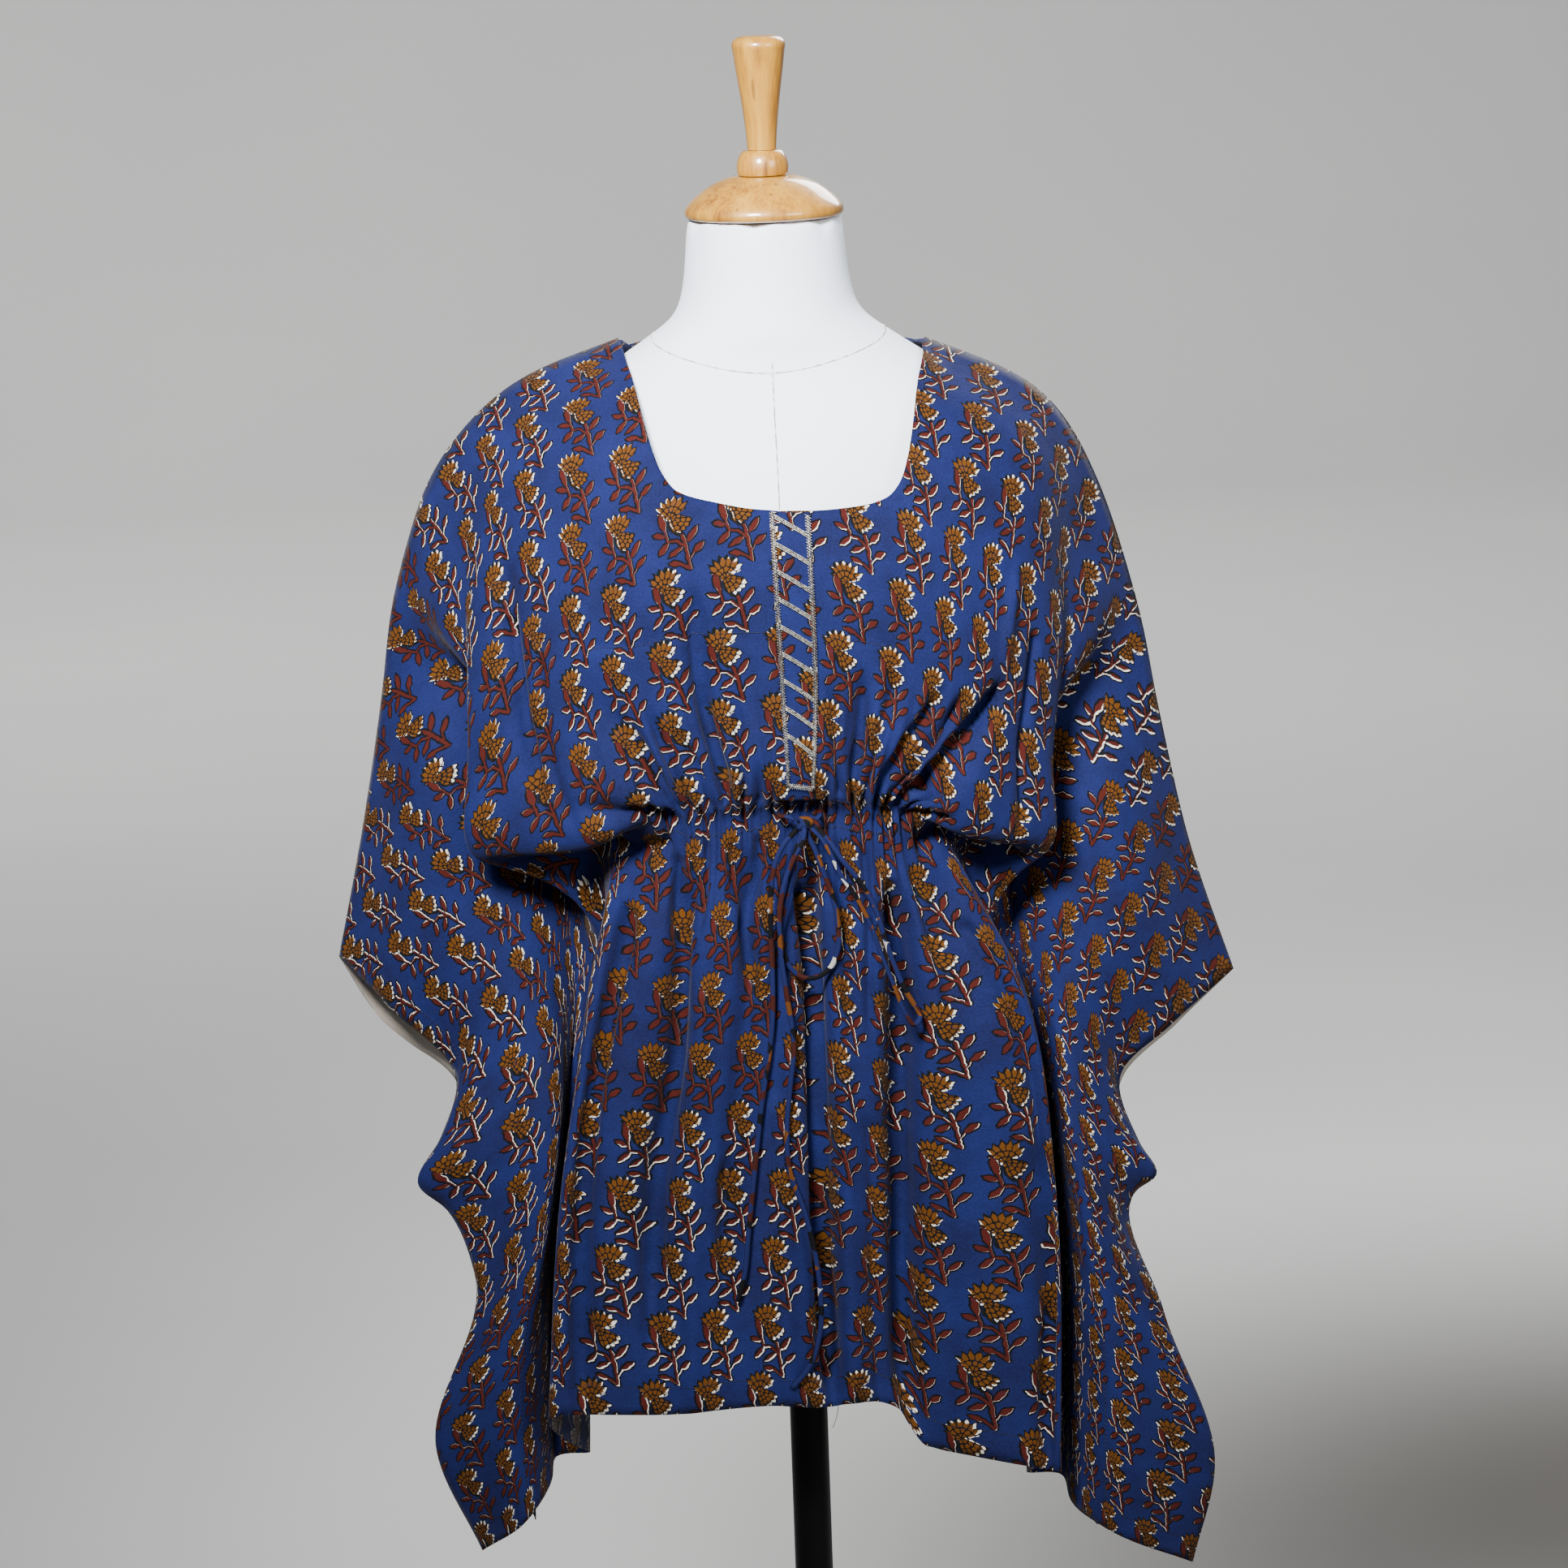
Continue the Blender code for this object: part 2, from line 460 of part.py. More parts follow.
def fall(left, right, opening):
    """Where the flat cloth's grid (FLAT_V rows by FLAT_U columns) hangs, before folds and gathers."""
    lines, rows = both_sides(left, right, opening)
    across = []
    for row in rows:
        knots = chord_knots(row)
        across.append(curve_through(knots, row, rising_map(lines, knots, FLAT_U)))
    across = np.array(across)
    placed = np.empty((len(FLAT_V), len(FLAT_U), 3))
    for i, u in enumerate(FLAT_U):
        knots = chord_knots(across[:, i])
        path = curve_through(knots, across[:, i], np.linspace(0.0, knots[-1], 200))
        run = chord_knots(path)
        top = top_edge(u)
        v_of_run = top + run / run[-1] * (CUT_LENGTH - top)
        above = np.minimum(FLAT_V - top, 0.0)[:, None] * (path[1] - path[0]) / (v_of_run[1] - v_of_run[0])
        hung = np.stack([np.interp(FLAT_V, v_of_run, path[:, axis]) for axis in range(3)], axis=1)
        placed[:, i] = hung + above
    return rounded(placed, ease(np.abs(FLAT_U), *EASED_FROM) * (1 - ease(np.abs(FLAT_U), *EASED_TO)))


def normals_of(grid, facing):
    """Unit normals of the hung grid: facing is 1 for the front's outer side and -1 for the back's."""
    out = np.cross(np.gradient(grid, axis=0), np.gradient(grid, axis=1)) * facing
    return out / np.maximum(np.linalg.norm(out, axis=-1), 1e-9)[..., None]


def fold_depth(folds, u, v):
    """Depth of all drawn folds at points of the flat cloth; each follows its route and fades at both ends."""
    total = np.zeros_like(u)
    for fold in folds:
        route = np.array(fold.route, float)
        marks = chord_knots(route)
        nearest = np.full_like(u, np.inf)
        run = np.zeros_like(u)
        for start, way, mark in zip(route, np.diff(route, axis=0), marks):
            length = math.hypot(*way)
            along = np.clip(((u - start[0]) * way[0] + (v - start[1]) * way[1]) / length, 0, length)
            off = np.hypot(u - start[0] - way[0] * along / length, v - start[1] - way[1] * along / length)
            closer = off < nearest
            nearest = np.where(closer, off, nearest)
            run = np.where(closer, mark + along, run)
        shown = ease(run, 0, FOLD_START) * ease(marks[-1] - run, 0, FOLD_FADE)
        total += fold.depth * shown * np.exp(-((nearest / fold.width) ** 2))
    return total


def hem_step(u, v):
    """How far the skirt's middle is held up beside the deep fold on its right."""
    low, full, last, gone = HEM_STEP_U
    return HEM_STEP * ease(u, low, full) * (1 - ease(u, last, gone)) * ease(v, *HEM_STEP_V)


def gather_depth(u, v):
    """Waves that run up and down from the drawn-in casing and spread as they go."""
    off = v - casing_at(u)
    away = np.abs(off)
    reach = np.where(off < 0, GATHER_RISE, GATHER_FALL)
    within = ease(CASING_HALF + GATHER_MARGIN + GATHER_SPREAD * away - np.abs(u), 0, GATHER_FADE)
    beside_band = ease(np.abs(u - (BAND_LEFT + BAND_RIGHT) / 2), *CLEAR_OF_BAND)
    strength = np.clip(1.0 - away / reach, 0, 1) * within * np.where(off < -BAND_FOOT, beside_band, 1.0)
    phase = 2 * math.pi * u / GATHER_PITCH
    held = ease(CASING_HALF + CASING_FADE[0] - np.abs(u), 0, CASING_FADE[1])
    dip = CASING_DIP * np.exp(-((off / CASING_DIP_WIDTH) ** 2)) * held
    return GATHER_DEPTH * strength * (1 - np.cos(phase)) + dip


def hang_front():
    """The front's outer face on the flat cloth's grid, and its normals."""
    u, v = np.meshgrid(FLAT_U, FLAT_V)
    grid = fall(FRONT_LEFT, FRONT_RIGHT, FRONT_OPENING)
    grid[..., 2] += hem_step(u, v)
    grid = grid - normals_of(grid, 1.0) * (fold_depth(FRONT_FOLDS, u, v) + gather_depth(u, v))[..., None]
    return grid, normals_of(grid, 1.0)


def hang_back(front):
    """The back's outer face. Its wings lie on the front's wings from the side seam outward."""
    u, v = np.meshgrid(FLAT_U, FLAT_V)
    grid = fall(BACK_LEFT, BACK_RIGHT, BACK_OPENING)
    grid = grid - normals_of(grid, -1.0) * fold_depth(BACK_FOLDS, u, v)[..., None]
    flare = WING_FLARE * ease(np.abs(u), SEAM_U + 5, CUT_HALF_WIDTH) * (1.3 + np.sin(v / WING_RIPPLE))
    outward = rounded(front[1], np.ones(len(FLAT_U)))
    lying = front[0] - outward * (2 * WALL + WING_APART) + np.array([0.0, 1.0, 0.0]) * flare[..., None]
    joined = ease(np.abs(u), *(SEAM_U - off for off in WING_JOIN))
    joined = joined * ease(v, ARMHOLE_V - WING_JOIN_TOP, ARMHOLE_V)
    grid = grid * (1 - joined[..., None]) + lying * joined[..., None]
    behind = np.sum((front[0] - grid) * outward, axis=-1)
    guarded = (np.abs(u) > SEAM_U) & (v > ARMHOLE_V - WING_GUARD_TOP)
    close = np.where(guarded, np.maximum(2 * WALL + WING_APART - behind, 0), 0)
    grid = grid - outward * close[..., None]
    return grid, normals_of(grid, -1.0)


def on_cloth(cloth, u, v, lift=0.0):
    """Points of a hung face at (u, v) of the flat cloth, moved out along its normals by a lift."""
    grid, normals = cloth
    face = grid + normals * lift
    column = (np.asarray(u, float) - FLAT_U[0]) / FLAT_STEP
    row = (np.asarray(v, float) - FLAT_V[0]) / FLAT_STEP
    i = np.clip(column.astype(int), 0, len(FLAT_U) - 2)
    j = np.clip(row.astype(int), 0, len(FLAT_V) - 2)
    a, b = (column - i)[..., None], (row - j)[..., None]
    upper = face[j, i] * (1 - a) + face[j, i + 1] * a
    lower = face[j + 1, i] * (1 - a) + face[j + 1, i + 1] * a
    return upper * (1 - b) + lower * b


# ---------------------------------------------------------------- panels


def spaced(*stops):
    """Values from (end, step) stops, evenly spaced between them."""
    values = [stops[0][0]]
    for (a, _), (b, step) in zip(stops, stops[1:]):
        count = max(1, round((b - a) / step))
        values += [a + (b - a) * k / count for k in range(1, count + 1)]
    return np.array(values)


ROWS = np.concatenate([
    spaced((0.0, 0), (0.24, 0.06), (0.9, 0.11), (0.96, 0.06), (1.0, 0.04)),
    spaced((1.04, 0), (1.1, 0.06), (2.0, 0.1125)),
])
SIDE_COLUMNS = spaced(
    (CASING_HALF, 0), (185, 20), (265, 20), (304, 20), (336, 16), (400, 32), (SEAM_U, 25),
    (CUT_HALF_WIDTH, 27),
)
GATHER_COLUMNS = spaced((-CASING_HALF, 0), (CASING_HALF, GATHER_PITCH / 2))[1:-1]
FRONT_COLUMNS = np.concatenate([-SIDE_COLUMNS[::-1], GATHER_COLUMNS, SIDE_COLUMNS])
BACK_MIDDLE = spaced((-CASING_HALF, 0), (CASING_HALF, 21))[1:-1]
BACK_COLUMNS = np.concatenate([-SIDE_COLUMNS[::-1], BACK_MIDDLE, SIDE_COLUMNS])
NECK_STRAIGHT = 40.0  # the neckline's columns bunch up beyond this distance from the centre
NECK_SPREAD = 0.5  # and are even again this far down towards the casing
NECK_BUNCH = 0.35  # how far they go from even spacing across to even spacing along the curve


def neck_columns(columns, neck):
    """Columns moved along the neckline so that they stand more evenly on its curve."""
    along = np.linspace(NECK_STRAIGHT, NECK_HALF_WIDTH, 400)
    moved = columns.copy()
    for side in (-1, 1):
        run = chord_knots(np.stack([along, cloth_start(side * along, neck)], axis=1))
        even = np.interp(np.linspace(0.0, run[-1], 400), run, along)
        on_curve = (side * columns > NECK_STRAIGHT) & (side * columns < NECK_HALF_WIDTH)
        evened = side * np.interp(side * columns[on_curve], along, even)
        moved[on_curve] += (evened - moved[on_curve]) * NECK_BUNCH
    return moved


def panel_grid(columns, neck):
    """U and V of a panel's points; every column runs from its cut edge through the casing line to the hem."""
    at_neck = neck_columns(columns, neck)
    start, casing = cloth_start(at_neck, neck), casing_at(columns)
    across = np.array([at_neck + (columns - at_neck) * ease(r, 0, NECK_SPREAD) for r in ROWS])
    down = np.array([
        start + (casing - start) * min(r, 1) + (CUT_LENGTH - casing) * max(r - 1, 0) for r in ROWS
    ])
    return across, down


def wall_between(outer, inner):
    """A closed wall between two grids of points."""
    rows, cols = outer.shape[:2]
    verts = np.concatenate([outer.reshape(-1, 3), inner.reshape(-1, 3)])
    far = rows * cols
    faces = []
    for j in range(rows - 1):
        for i in range(cols - 1):
            a = j * cols + i
            b, c, d = a + 1, a + 1 + cols, a + cols
            halves = ((a, b, c), (a, c, d)) if i < cols // 2 else ((a, b, d), (b, c, d))
            faces += [half for half in halves] + [tuple(p + far for p in reversed(half)) for half in halves]
    rim = [*range(cols), *(j * cols + cols - 1 for j in range(1, rows))]
    rim += [(rows - 1) * cols + i for i in range(cols - 2, -1, -1)]
    rim += [j * cols for j in range(rows - 2, 0, -1)]
    faces += [(a, a + far, b + far, b) for a, b in zip(rim, rim[1:] + rim[:1])]
    return verts, faces


def build_panel(name, cloth, columns, neck, clearance, mat):
    """A panel's wall. Along the shoulder its cut edge stands upright, so the two panels meet face to face."""
    u, v = panel_grid(columns, neck)
    hung = on_cloth(cloth, u, v)
    outer = clear_of_form(hung, clearance + WALL)
    inner = outer + on_cloth(cloth, u, v, -WALL) - hung
    shoulder = np.abs(u[0]) >= NECK_HALF_WIDTH
    inner[0, shoulder, 1] = outer[0, shoulder, 1]
    add_object(name, *wall_between(outer, inner), mat)


# ---------------------------------------------------------------- band and lace, from the front's own points


def slab(front, flat_points, faces, low, high):
    """Flat (u, v) faces laid on the front and thickened from one lift to another."""
    count = len(flat_points)
    u, v = np.array(flat_points, float).T
    verts = np.concatenate([on_cloth(front, u, v, high), on_cloth(front, u, v, low)])
    edges = {(a, b) for face in faces for a, b in zip(face, face[1:] + face[:1])}
    walls = [(a, a + count, b + count, b) for a, b in sorted(edges) if (b, a) not in edges]
    return verts, [tuple(f) for f in faces] + [tuple(p + count for p in reversed(f)) for f in faces] + walls


def build_band(front, mat):
    across = [c for c in FRONT_COLUMNS if BAND_LEFT - 0.1 <= c <= BAND_RIGHT + 0.1]
    centre_rows = panel_grid(np.zeros(1), FRONT_NECK)[1][:, 0]
    downs = [v for v in centre_rows if v < BAND_END_V - 4] + [BAND_END_V]
    edge = cloth_start(np.array(across), FRONT_NECK) + 1.0
    points = [(c, max(v, top)) for v in downs for c, top in zip(across, edge)]
    n = len(across)
    corners = [j * n + i for j in range(len(downs) - 1) for i in range(n - 1)]
    faces = [[a, a + 1, a + n + 1, a + n] for a in corners]
    add_object("placket_band", *slab(front, points, faces, GAP, GAP + BAND_THICK), mat)


def build_lace(front, mat):
    """Two borders with diagonal bars between them, as one cut-through ribbon."""
    top = FRONT_NECK[0].v + LACE_TOP
    end = BAND_END_V - LACE_END
    u0, u3 = BAND_LEFT + LACE_INSET, BAND_RIGHT - LACE_INSET
    u1, u2 = u0 + LACE_BORDER, u3 - LACE_BORDER
    pitch = (end - top - LACE_BAR_RISE) / LACE_BARS
    starts = [top + LACE_FIRST_BAR + k * pitch for k in range(LACE_BARS)]
    left_marks = [top] + [m for s in starts for m in (s, s + LACE_BAR_WIDTH)] + [end]
    right_marks = [top] + [m + LACE_BAR_RISE for s in starts for m in (s, s + LACE_BAR_WIDTH)] + [end]
    points, faces = [], []
    for marks, a, b in ((left_marks, u0, u1), (right_marks, u2, u3)):
        first = len(points)
        points += [place for v in marks for place in ((a, v), (b, v))]
        pairs = range(first, first + 2 * len(marks) - 2, 2)
        faces += [[p, p + 1, p + 3, p + 2] for p in pairs]
    for k in range(LACE_BARS):
        on_left = 4 * k + 3
        on_right = 2 * len(left_marks) + 4 * k + 2
        faces.append([on_left, on_right, on_right + 2, on_left + 2])
    low = GAP + BAND_THICK + LACE_GAP
    add_object("lace_trim", *slab(front, points, faces, low, low + LACE_THICK), mat, smooth=False)


# ---------------------------------------------------------------- drawstring


def at_knot(way):
    """Two places straight out from the knot, the first just off it, for a cord that leaves in a given way."""
    size = np.array(KNOT_SIZE)
    way = np.array(way, float)
    face = way / np.linalg.norm(way / size)
    normal = face / size**2
    normal /= np.linalg.norm(normal)
    return [np.array(KNOT_CENTRE) + face + normal * off for off in (KNOT_GAP, KNOT_GAP + KNOT_LEAD)]


def from_eyelet(front, u, string):
    """A string's route from its eyelet in the casing to the knot."""
    mids, way = string
    out = [on_cloth(front, np.array(u), casing_at(u), lift) for lift in EYELET_LIFTS]
    return [*out, *mids, *reversed(at_knot(way))]


def from_knot(cord):
    """The route of a loop or a tail from the knot, and back to it when the cord gives a second way."""
    back = list(reversed(at_knot(cord[2]))) if len(cord) > 2 else []
    return [*at_knot(cord[0]), *cord[1], *back]


def build_string(name, route, mat):
    knots = chord_knots(route)
    end = knots[-1]
    between = np.linspace(STRING_END, end - STRING_END, max(3, round(end / STRING_STEP)))
    path = curve_through(knots, route, [0.0, *between, end]) * MM
    curve = bpy.data.curves.new(name, "CURVE")
    curve.dimensions = "3D"
    curve.bevel_depth = STRING_RADIUS * MM
    curve.bevel_resolution = 2
    curve.use_fill_caps = True
    line = curve.splines.new("POLY")
    line.points.add(len(path) - 1)
    for point, place in zip(line.points, path):
        point.co = (*place, 1.0)
    curve.materials.append(mat)
    obj = bpy.data.objects.new(name, curve)
    bpy.context.scene.collection.objects.link(obj)


def build_knot(mat):
    body = bmesh.new()
    bmesh.ops.create_icosphere(body, subdivisions=2, radius=1.0)
    verts = [tuple(c + s * p for c, s, p in zip(KNOT_CENTRE, KNOT_SIZE, v.co)) for v in body.verts]
    faces = [tuple(v.index for v in f.verts) for f in body.faces]
    body.free()
    add_object("bow_knot", verts, faces, mat)


# ---------------------------------------------------------------- dress form and stand


def turned(name, profile, sides, mat, x=0.0, y=0.0):
    """A closed turned body from (height, radius) pairs, top to bottom."""
    verts, faces = [], []
    for z, radius in profile:
        for k in range(sides):
            a = 2 * math.pi * k / sides
            verts.append((x + radius * math.cos(a), y + radius * math.sin(a), z))
    for j in range(len(profile) - 1):
        for k in range(sides):
            n = (k + 1) % sides
            faces.append((j * sides + k, j * sides + n, (j + 1) * sides + n, (j + 1) * sides + k))
    faces.append(tuple(range(sides)))
    faces.append(tuple(reversed(range((len(profile) - 1) * sides, len(profile) * sides))))
    add_object(name, verts, faces, mat)


def build_torso(mat):
    verts, faces = [], []
    for ring in TORSO_RINGS:
        for k in range(TORSO_SIDES):
            a = 2 * math.pi * k / TORSO_SIDES
            depth = ring.front if math.sin(a) < 0 else ring.back
            verts.append((ring.half * math.cos(a), depth * math.sin(a), ring.z))
    for j in range(len(TORSO_RINGS) - 1):
        for k in range(TORSO_SIDES):
            n = (k + 1) % TORSO_SIDES
            a, b = j * TORSO_SIDES, (j + 1) * TORSO_SIDES
            faces.append((a + k, a + n, b + n, b + k))
    faces.append(tuple(range(TORSO_SIDES)))
    faces.append(tuple(range((len(TORSO_RINGS) - 1) * TORSO_SIDES, len(TORSO_RINGS) * TORSO_SIDES)))
    add_object("form_torso", verts, faces, mat)


def build_form():
    cover = paint("cotton cover", (0.80, 0.80, 0.79), 0.85)
    wood = paint("varnished wood", (0.56, 0.31, 0.11), 0.3)
    iron = paint("black painted steel", (0.012, 0.012, 0.013), 0.4, 0.2)
    build_torso(cover)
    turned("form_cap", CAP_PROFILE, WOOD_SIDES, wood)
    turned("form_ball", BALL_PROFILE, WOOD_SIDES, wood)
    turned("form_handle", HANDLE_PROFILE, WOOD_SIDES, wood)
    top = TORSO_RINGS[-1].z - GAP
    turned("stand_pole", ((top, POLE_RADIUS), (BASE_THICK + GAP, POLE_RADIUS)), WOOD_SIDES, iron, POLE_X)
    edge = BASE_RADIUS - BASE_EDGE
    foot = ((BASE_THICK, edge), (BASE_THICK - BASE_EDGE, BASE_RADIUS), (0, BASE_RADIUS))
    turned("stand_base", foot, BASE_SIDES, iron)


def build_garment():
    cotton = paint("printed cotton", (0.040, 0.085, 0.38), 0.8)
    lace = paint("silver lace", (0.45, 0.45, 0.42), 0.4, 0.6)
    front = hang_front()
    build_panel("front_panel", front, FRONT_COLUMNS, FRONT_NECK, FRONT_CLEARANCE, cotton)
    build_panel("back_panel", hang_back(front), BACK_COLUMNS, BACK_NECK, BACK_CLEARANCE, cotton)
    build_band(front, cotton)
    build_lace(front, lace)
    build_string("string_left", from_eyelet(front, EYELET_LEFT, STRING_LEFT), cotton)
    build_string("string_right", from_eyelet(front, EYELET_RIGHT, STRING_RIGHT), cotton)
    build_knot(cotton)
    build_string("bow_loop_left", from_knot(LOOP_LEFT), cotton)
    build_string("bow_loop_right", from_knot(LOOP_RIGHT), cotton)
    build_string("bow_tail_left", from_knot(TAIL_LEFT), cotton)
    build_string("bow_tail_right", from_knot(TAIL_RIGHT), cotton)


clear_scene()
build_form()
build_garment()
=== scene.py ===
import math
from collections import namedtuple
from functools import partial

import bpy
import numpy as np
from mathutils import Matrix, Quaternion, Vector
from mathutils.bvhtree import BVHTree


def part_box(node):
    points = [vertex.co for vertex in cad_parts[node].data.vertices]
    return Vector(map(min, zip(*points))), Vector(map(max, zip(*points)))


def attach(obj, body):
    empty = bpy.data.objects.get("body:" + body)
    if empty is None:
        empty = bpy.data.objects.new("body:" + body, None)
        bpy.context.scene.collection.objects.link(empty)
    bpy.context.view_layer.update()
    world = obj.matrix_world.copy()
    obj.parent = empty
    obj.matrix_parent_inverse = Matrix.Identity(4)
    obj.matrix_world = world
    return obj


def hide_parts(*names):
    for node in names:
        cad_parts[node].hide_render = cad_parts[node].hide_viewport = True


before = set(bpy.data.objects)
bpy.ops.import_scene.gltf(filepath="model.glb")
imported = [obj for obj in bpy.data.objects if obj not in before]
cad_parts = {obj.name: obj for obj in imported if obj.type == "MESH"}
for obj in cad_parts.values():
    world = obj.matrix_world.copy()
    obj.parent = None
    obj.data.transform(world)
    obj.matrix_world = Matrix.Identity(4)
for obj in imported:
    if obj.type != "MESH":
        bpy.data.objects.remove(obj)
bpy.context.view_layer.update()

MM = 0.001


# ---------------------------------------------------------------- Camera
# A long lens 4.5 m in front of the garment, 10 degrees above level and leaning by 2 degrees. The picture is
# square and 1932 pixels wide, and one pixel of it is 0.55 mm on the garment's middle plane.

PICTURE_SIDE = 1932
MM_PER_PIXEL = 0.55
LOOKED_AT = Vector((0, 0, 1.06))
CAMERA_DISTANCE = 4.5
CAMERA_ELEVATION = math.radians(10)
CAMERA_LEAN = math.radians(-2)
SENSOR = 36.0

camera = bpy.data.objects.new("camera", bpy.data.cameras.new("camera"))
bpy.context.scene.collection.objects.link(camera)
camera.data.sensor_width = SENSOR
camera.data.lens = SENSOR * CAMERA_DISTANCE / (PICTURE_SIDE * MM_PER_PIXEL * MM)
look = Vector((0, math.cos(CAMERA_ELEVATION), -math.sin(CAMERA_ELEVATION)))
camera.rotation_mode = "QUATERNION"
camera.rotation_quaternion = look.to_track_quat("-Z", "Y") @ Quaternion((0, 0, 1), CAMERA_LEAN)
camera.location = LOOKED_AT - look * CAMERA_DISTANCE
bpy.context.scene.camera = camera


# ---------------------------------------------------------------- Drawstring
# A narrow tube of the garment's own printed cotton, sewn along one side and turned out. It leaves the waist
# casing through two eyelets, is tied in a bow, and hangs in two loops and two tails that rest on the skirt.

STRING_WIDTH = 3.6
STRING_DEPTH = 2.6
STRING_SIDES = 12
KNOT_CENTRE = (13.0, -122.0, 1054.5)
KNOT_SIZE = (7.5, 4.2, 5.2)
KNOT_TURN_STEPS = 40
KNOT_SIDES = 16
ROUTE_STEP = 2.5
STRING_LEFT = (
    (-3.9, -113.2, 1059.9), (-3.8, -115, 1059), (1.6, -121.2, 1059.4), (4.3, -122, 1058.3), (6.1, -122, 1057),
)
STRING_RIGHT = (
    (23.1, -114.8, 1059.2), (23, -116.6, 1058.3), (22.4, -121.6, 1059.2), (21.7, -122, 1058.3),
    (19.9, -122, 1057),
)
LOOP_LEFT = (
    (14.2, -123.6, 1049.4), (14.5, -124.5, 1047.4), (17.5, -125.2, 1041), (23.5, -125.6, 1024),
    (29.5, -124.5, 1005), (32.5, -123, 986), (31.5, -122, 968), (26.5, -122, 957), (17.5, -122, 951),
    (8, -122, 951), (0, -122.5, 958), (-5, -123.5, 971), (-4.5, -124.5, 990), (0.5, -125.5, 1010),
    (5.5, -126, 1030), (8.2, -124.8, 1042), (10.1, -124.1, 1047.5), (10.6, -123.3, 1049.5),
)
LOOP_RIGHT = (
    (19.3, -121, 1051.5), (20.9, -120.3, 1050.1), (26.5, -124.5, 1045), (36, -127.5, 1031), (47.5, -126, 1015),
    (57, -124.5, 997), (62.5, -123.5, 978), (68.5, -122.5, 958), (76.5, -121.5, 938), (81.5, -121, 929),
    (85, -121.5, 921), (81, -124.8, 917), (75.5, -127, 925), (68.5, -128.5, 944), (61, -129.5, 965),
    (54.5, -130.5, 985), (46, -131.5, 1004), (35.5, -132.2, 1021), (28, -131.6, 1038), (23.5, -129.6, 1045.5),
    (17.4, -127.7, 1052.2), (16.8, -125.7, 1052.8),
)
TAIL_LEFT = (
    (7.2, -122.6, 1050.9), (5.8, -123.1, 1049.2), (1, -125.5, 1045), (-7, -126.5, 1031), (-11, -125.5, 1010),
    (-12, -124.5, 985), (-12, -124.5, 955), (-13, -125.2, 925), (-17, -125.6, 895), (-22, -126, 868),
    (-26, -126.3, 840), (-30, -126.6, 810), (-34, -126.9, 780), (-38, -127, 750), (-43, -127.2, 733),
)
TAIL_RIGHT = (
    (12.6, -126.2, 1052.5), (12.5, -128.3, 1051.8), (11, -130.6, 1045), (5, -131.8, 1034), (-1, -131.5, 1020),
    (-5.5, -130.5, 1000), (-6, -129, 970), (-3, -127.8, 940), (0.5, -126.6, 905), (-3, -126.2, 878),
    (-6, -126, 850), (-5, -126, 820), (3, -126, 795), (9.5, -125.5, 765), (12.5, -125.5, 735),
    (11, -125.5, 708), (2, -126.5, 684), (-9, -127.2, 672),
)


def chord_knots(points):
    """Knots that grow with the distance between points."""
    gaps = np.linalg.norm(np.diff(np.asarray(points, float), axis=0), axis=1)
    return np.concatenate([[0.0], np.cumsum(np.maximum(gaps, 1e-3))])


def curve_through(knots, points, at):
    """Points at parameter values on a smooth curve that passes through the given points at their knots."""
    knots = np.asarray(knots, float)
    points = np.asarray(points, float)
    at = np.clip(np.atleast_1d(np.asarray(at, float)), knots[0], knots[-1])
    steps = np.diff(knots)[:, None]
    slopes = np.diff(points, axis=0) / steps
    tangents = np.empty_like(points)
    tangents[0], tangents[-1] = slopes[0], slopes[-1]
    tangents[1:-1] = (slopes[:-1] * steps[1:] + slopes[1:] * steps[:-1]) / (steps[:-1] + steps[1:])
    seg = np.clip(np.searchsorted(knots, at, side="right") - 1, 0, len(knots) - 2)
    h = steps[seg, 0][:, None]
    t = ((at - knots[seg]) / steps[seg, 0])[:, None]
    return (
        points[seg] * (1 + 2 * t) * (1 - t) ** 2
        + tangents[seg] * h * t * (1 - t) ** 2
        + points[seg + 1] * t**2 * (3 - 2 * t)
        + tangents[seg + 1] * h * t**2 * (t - 1)
    )


def piece_from(name, verts_mm, faces, mat):
    """A smooth-shaded object at the origin from points in millimetres."""
    mesh = bpy.data.meshes.new(name)
    mesh.from_pydata([tuple(float(c) * MM for c in v) for v in verts_mm], [], faces)
    mesh.shade_smooth()
    mesh.materials.append(mat)
    obj = bpy.data.objects.new(name, mesh)
    bpy.context.scene.collection.objects.link(obj)
    return obj


def rod_along(path, across, deep, sides, first_up=(0.0, -1.0, 0.0)):
    """Points and faces of a closed rod of elliptical section along a path; its depth faces up."""
    path = np.asarray(path, float)
    ahead = np.gradient(path, axis=0)
    ahead /= np.linalg.norm(ahead, axis=1)[:, None]
    up = np.array(first_up, float)
    verts = []
    for place, way in zip(path, ahead):
        up = up - way * (up @ way)
        up /= np.linalg.norm(up)
        side = np.cross(way, up)
        for k in range(sides):
            a = 2 * math.pi * k / sides
            verts.append(place + side * (across / 2 * math.cos(a)) + up * (deep / 2 * math.sin(a)))
    faces = []
    for j in range(len(path) - 1):
        for k in range(sides):
            n = (k + 1) % sides
            faces.append((j * sides + k, j * sides + n, (j + 1) * sides + n, (j + 1) * sides + k))
    faces.append(tuple(reversed(range(sides))))
    faces.append(tuple(range((len(path) - 1) * sides, len(path) * sides)))
    return verts, faces


def linear(hex_colour):
    """An sRGB hex colour as linear RGBA."""
    out = []
    for k in (1, 3, 5):
        c = int(hex_colour[k:k + 2], 16) / 255
        out.append(c / 12.92 if c <= 0.04045 else ((c + 0.055) / 1.055) ** 2.4)
    return (*out, 1.0)


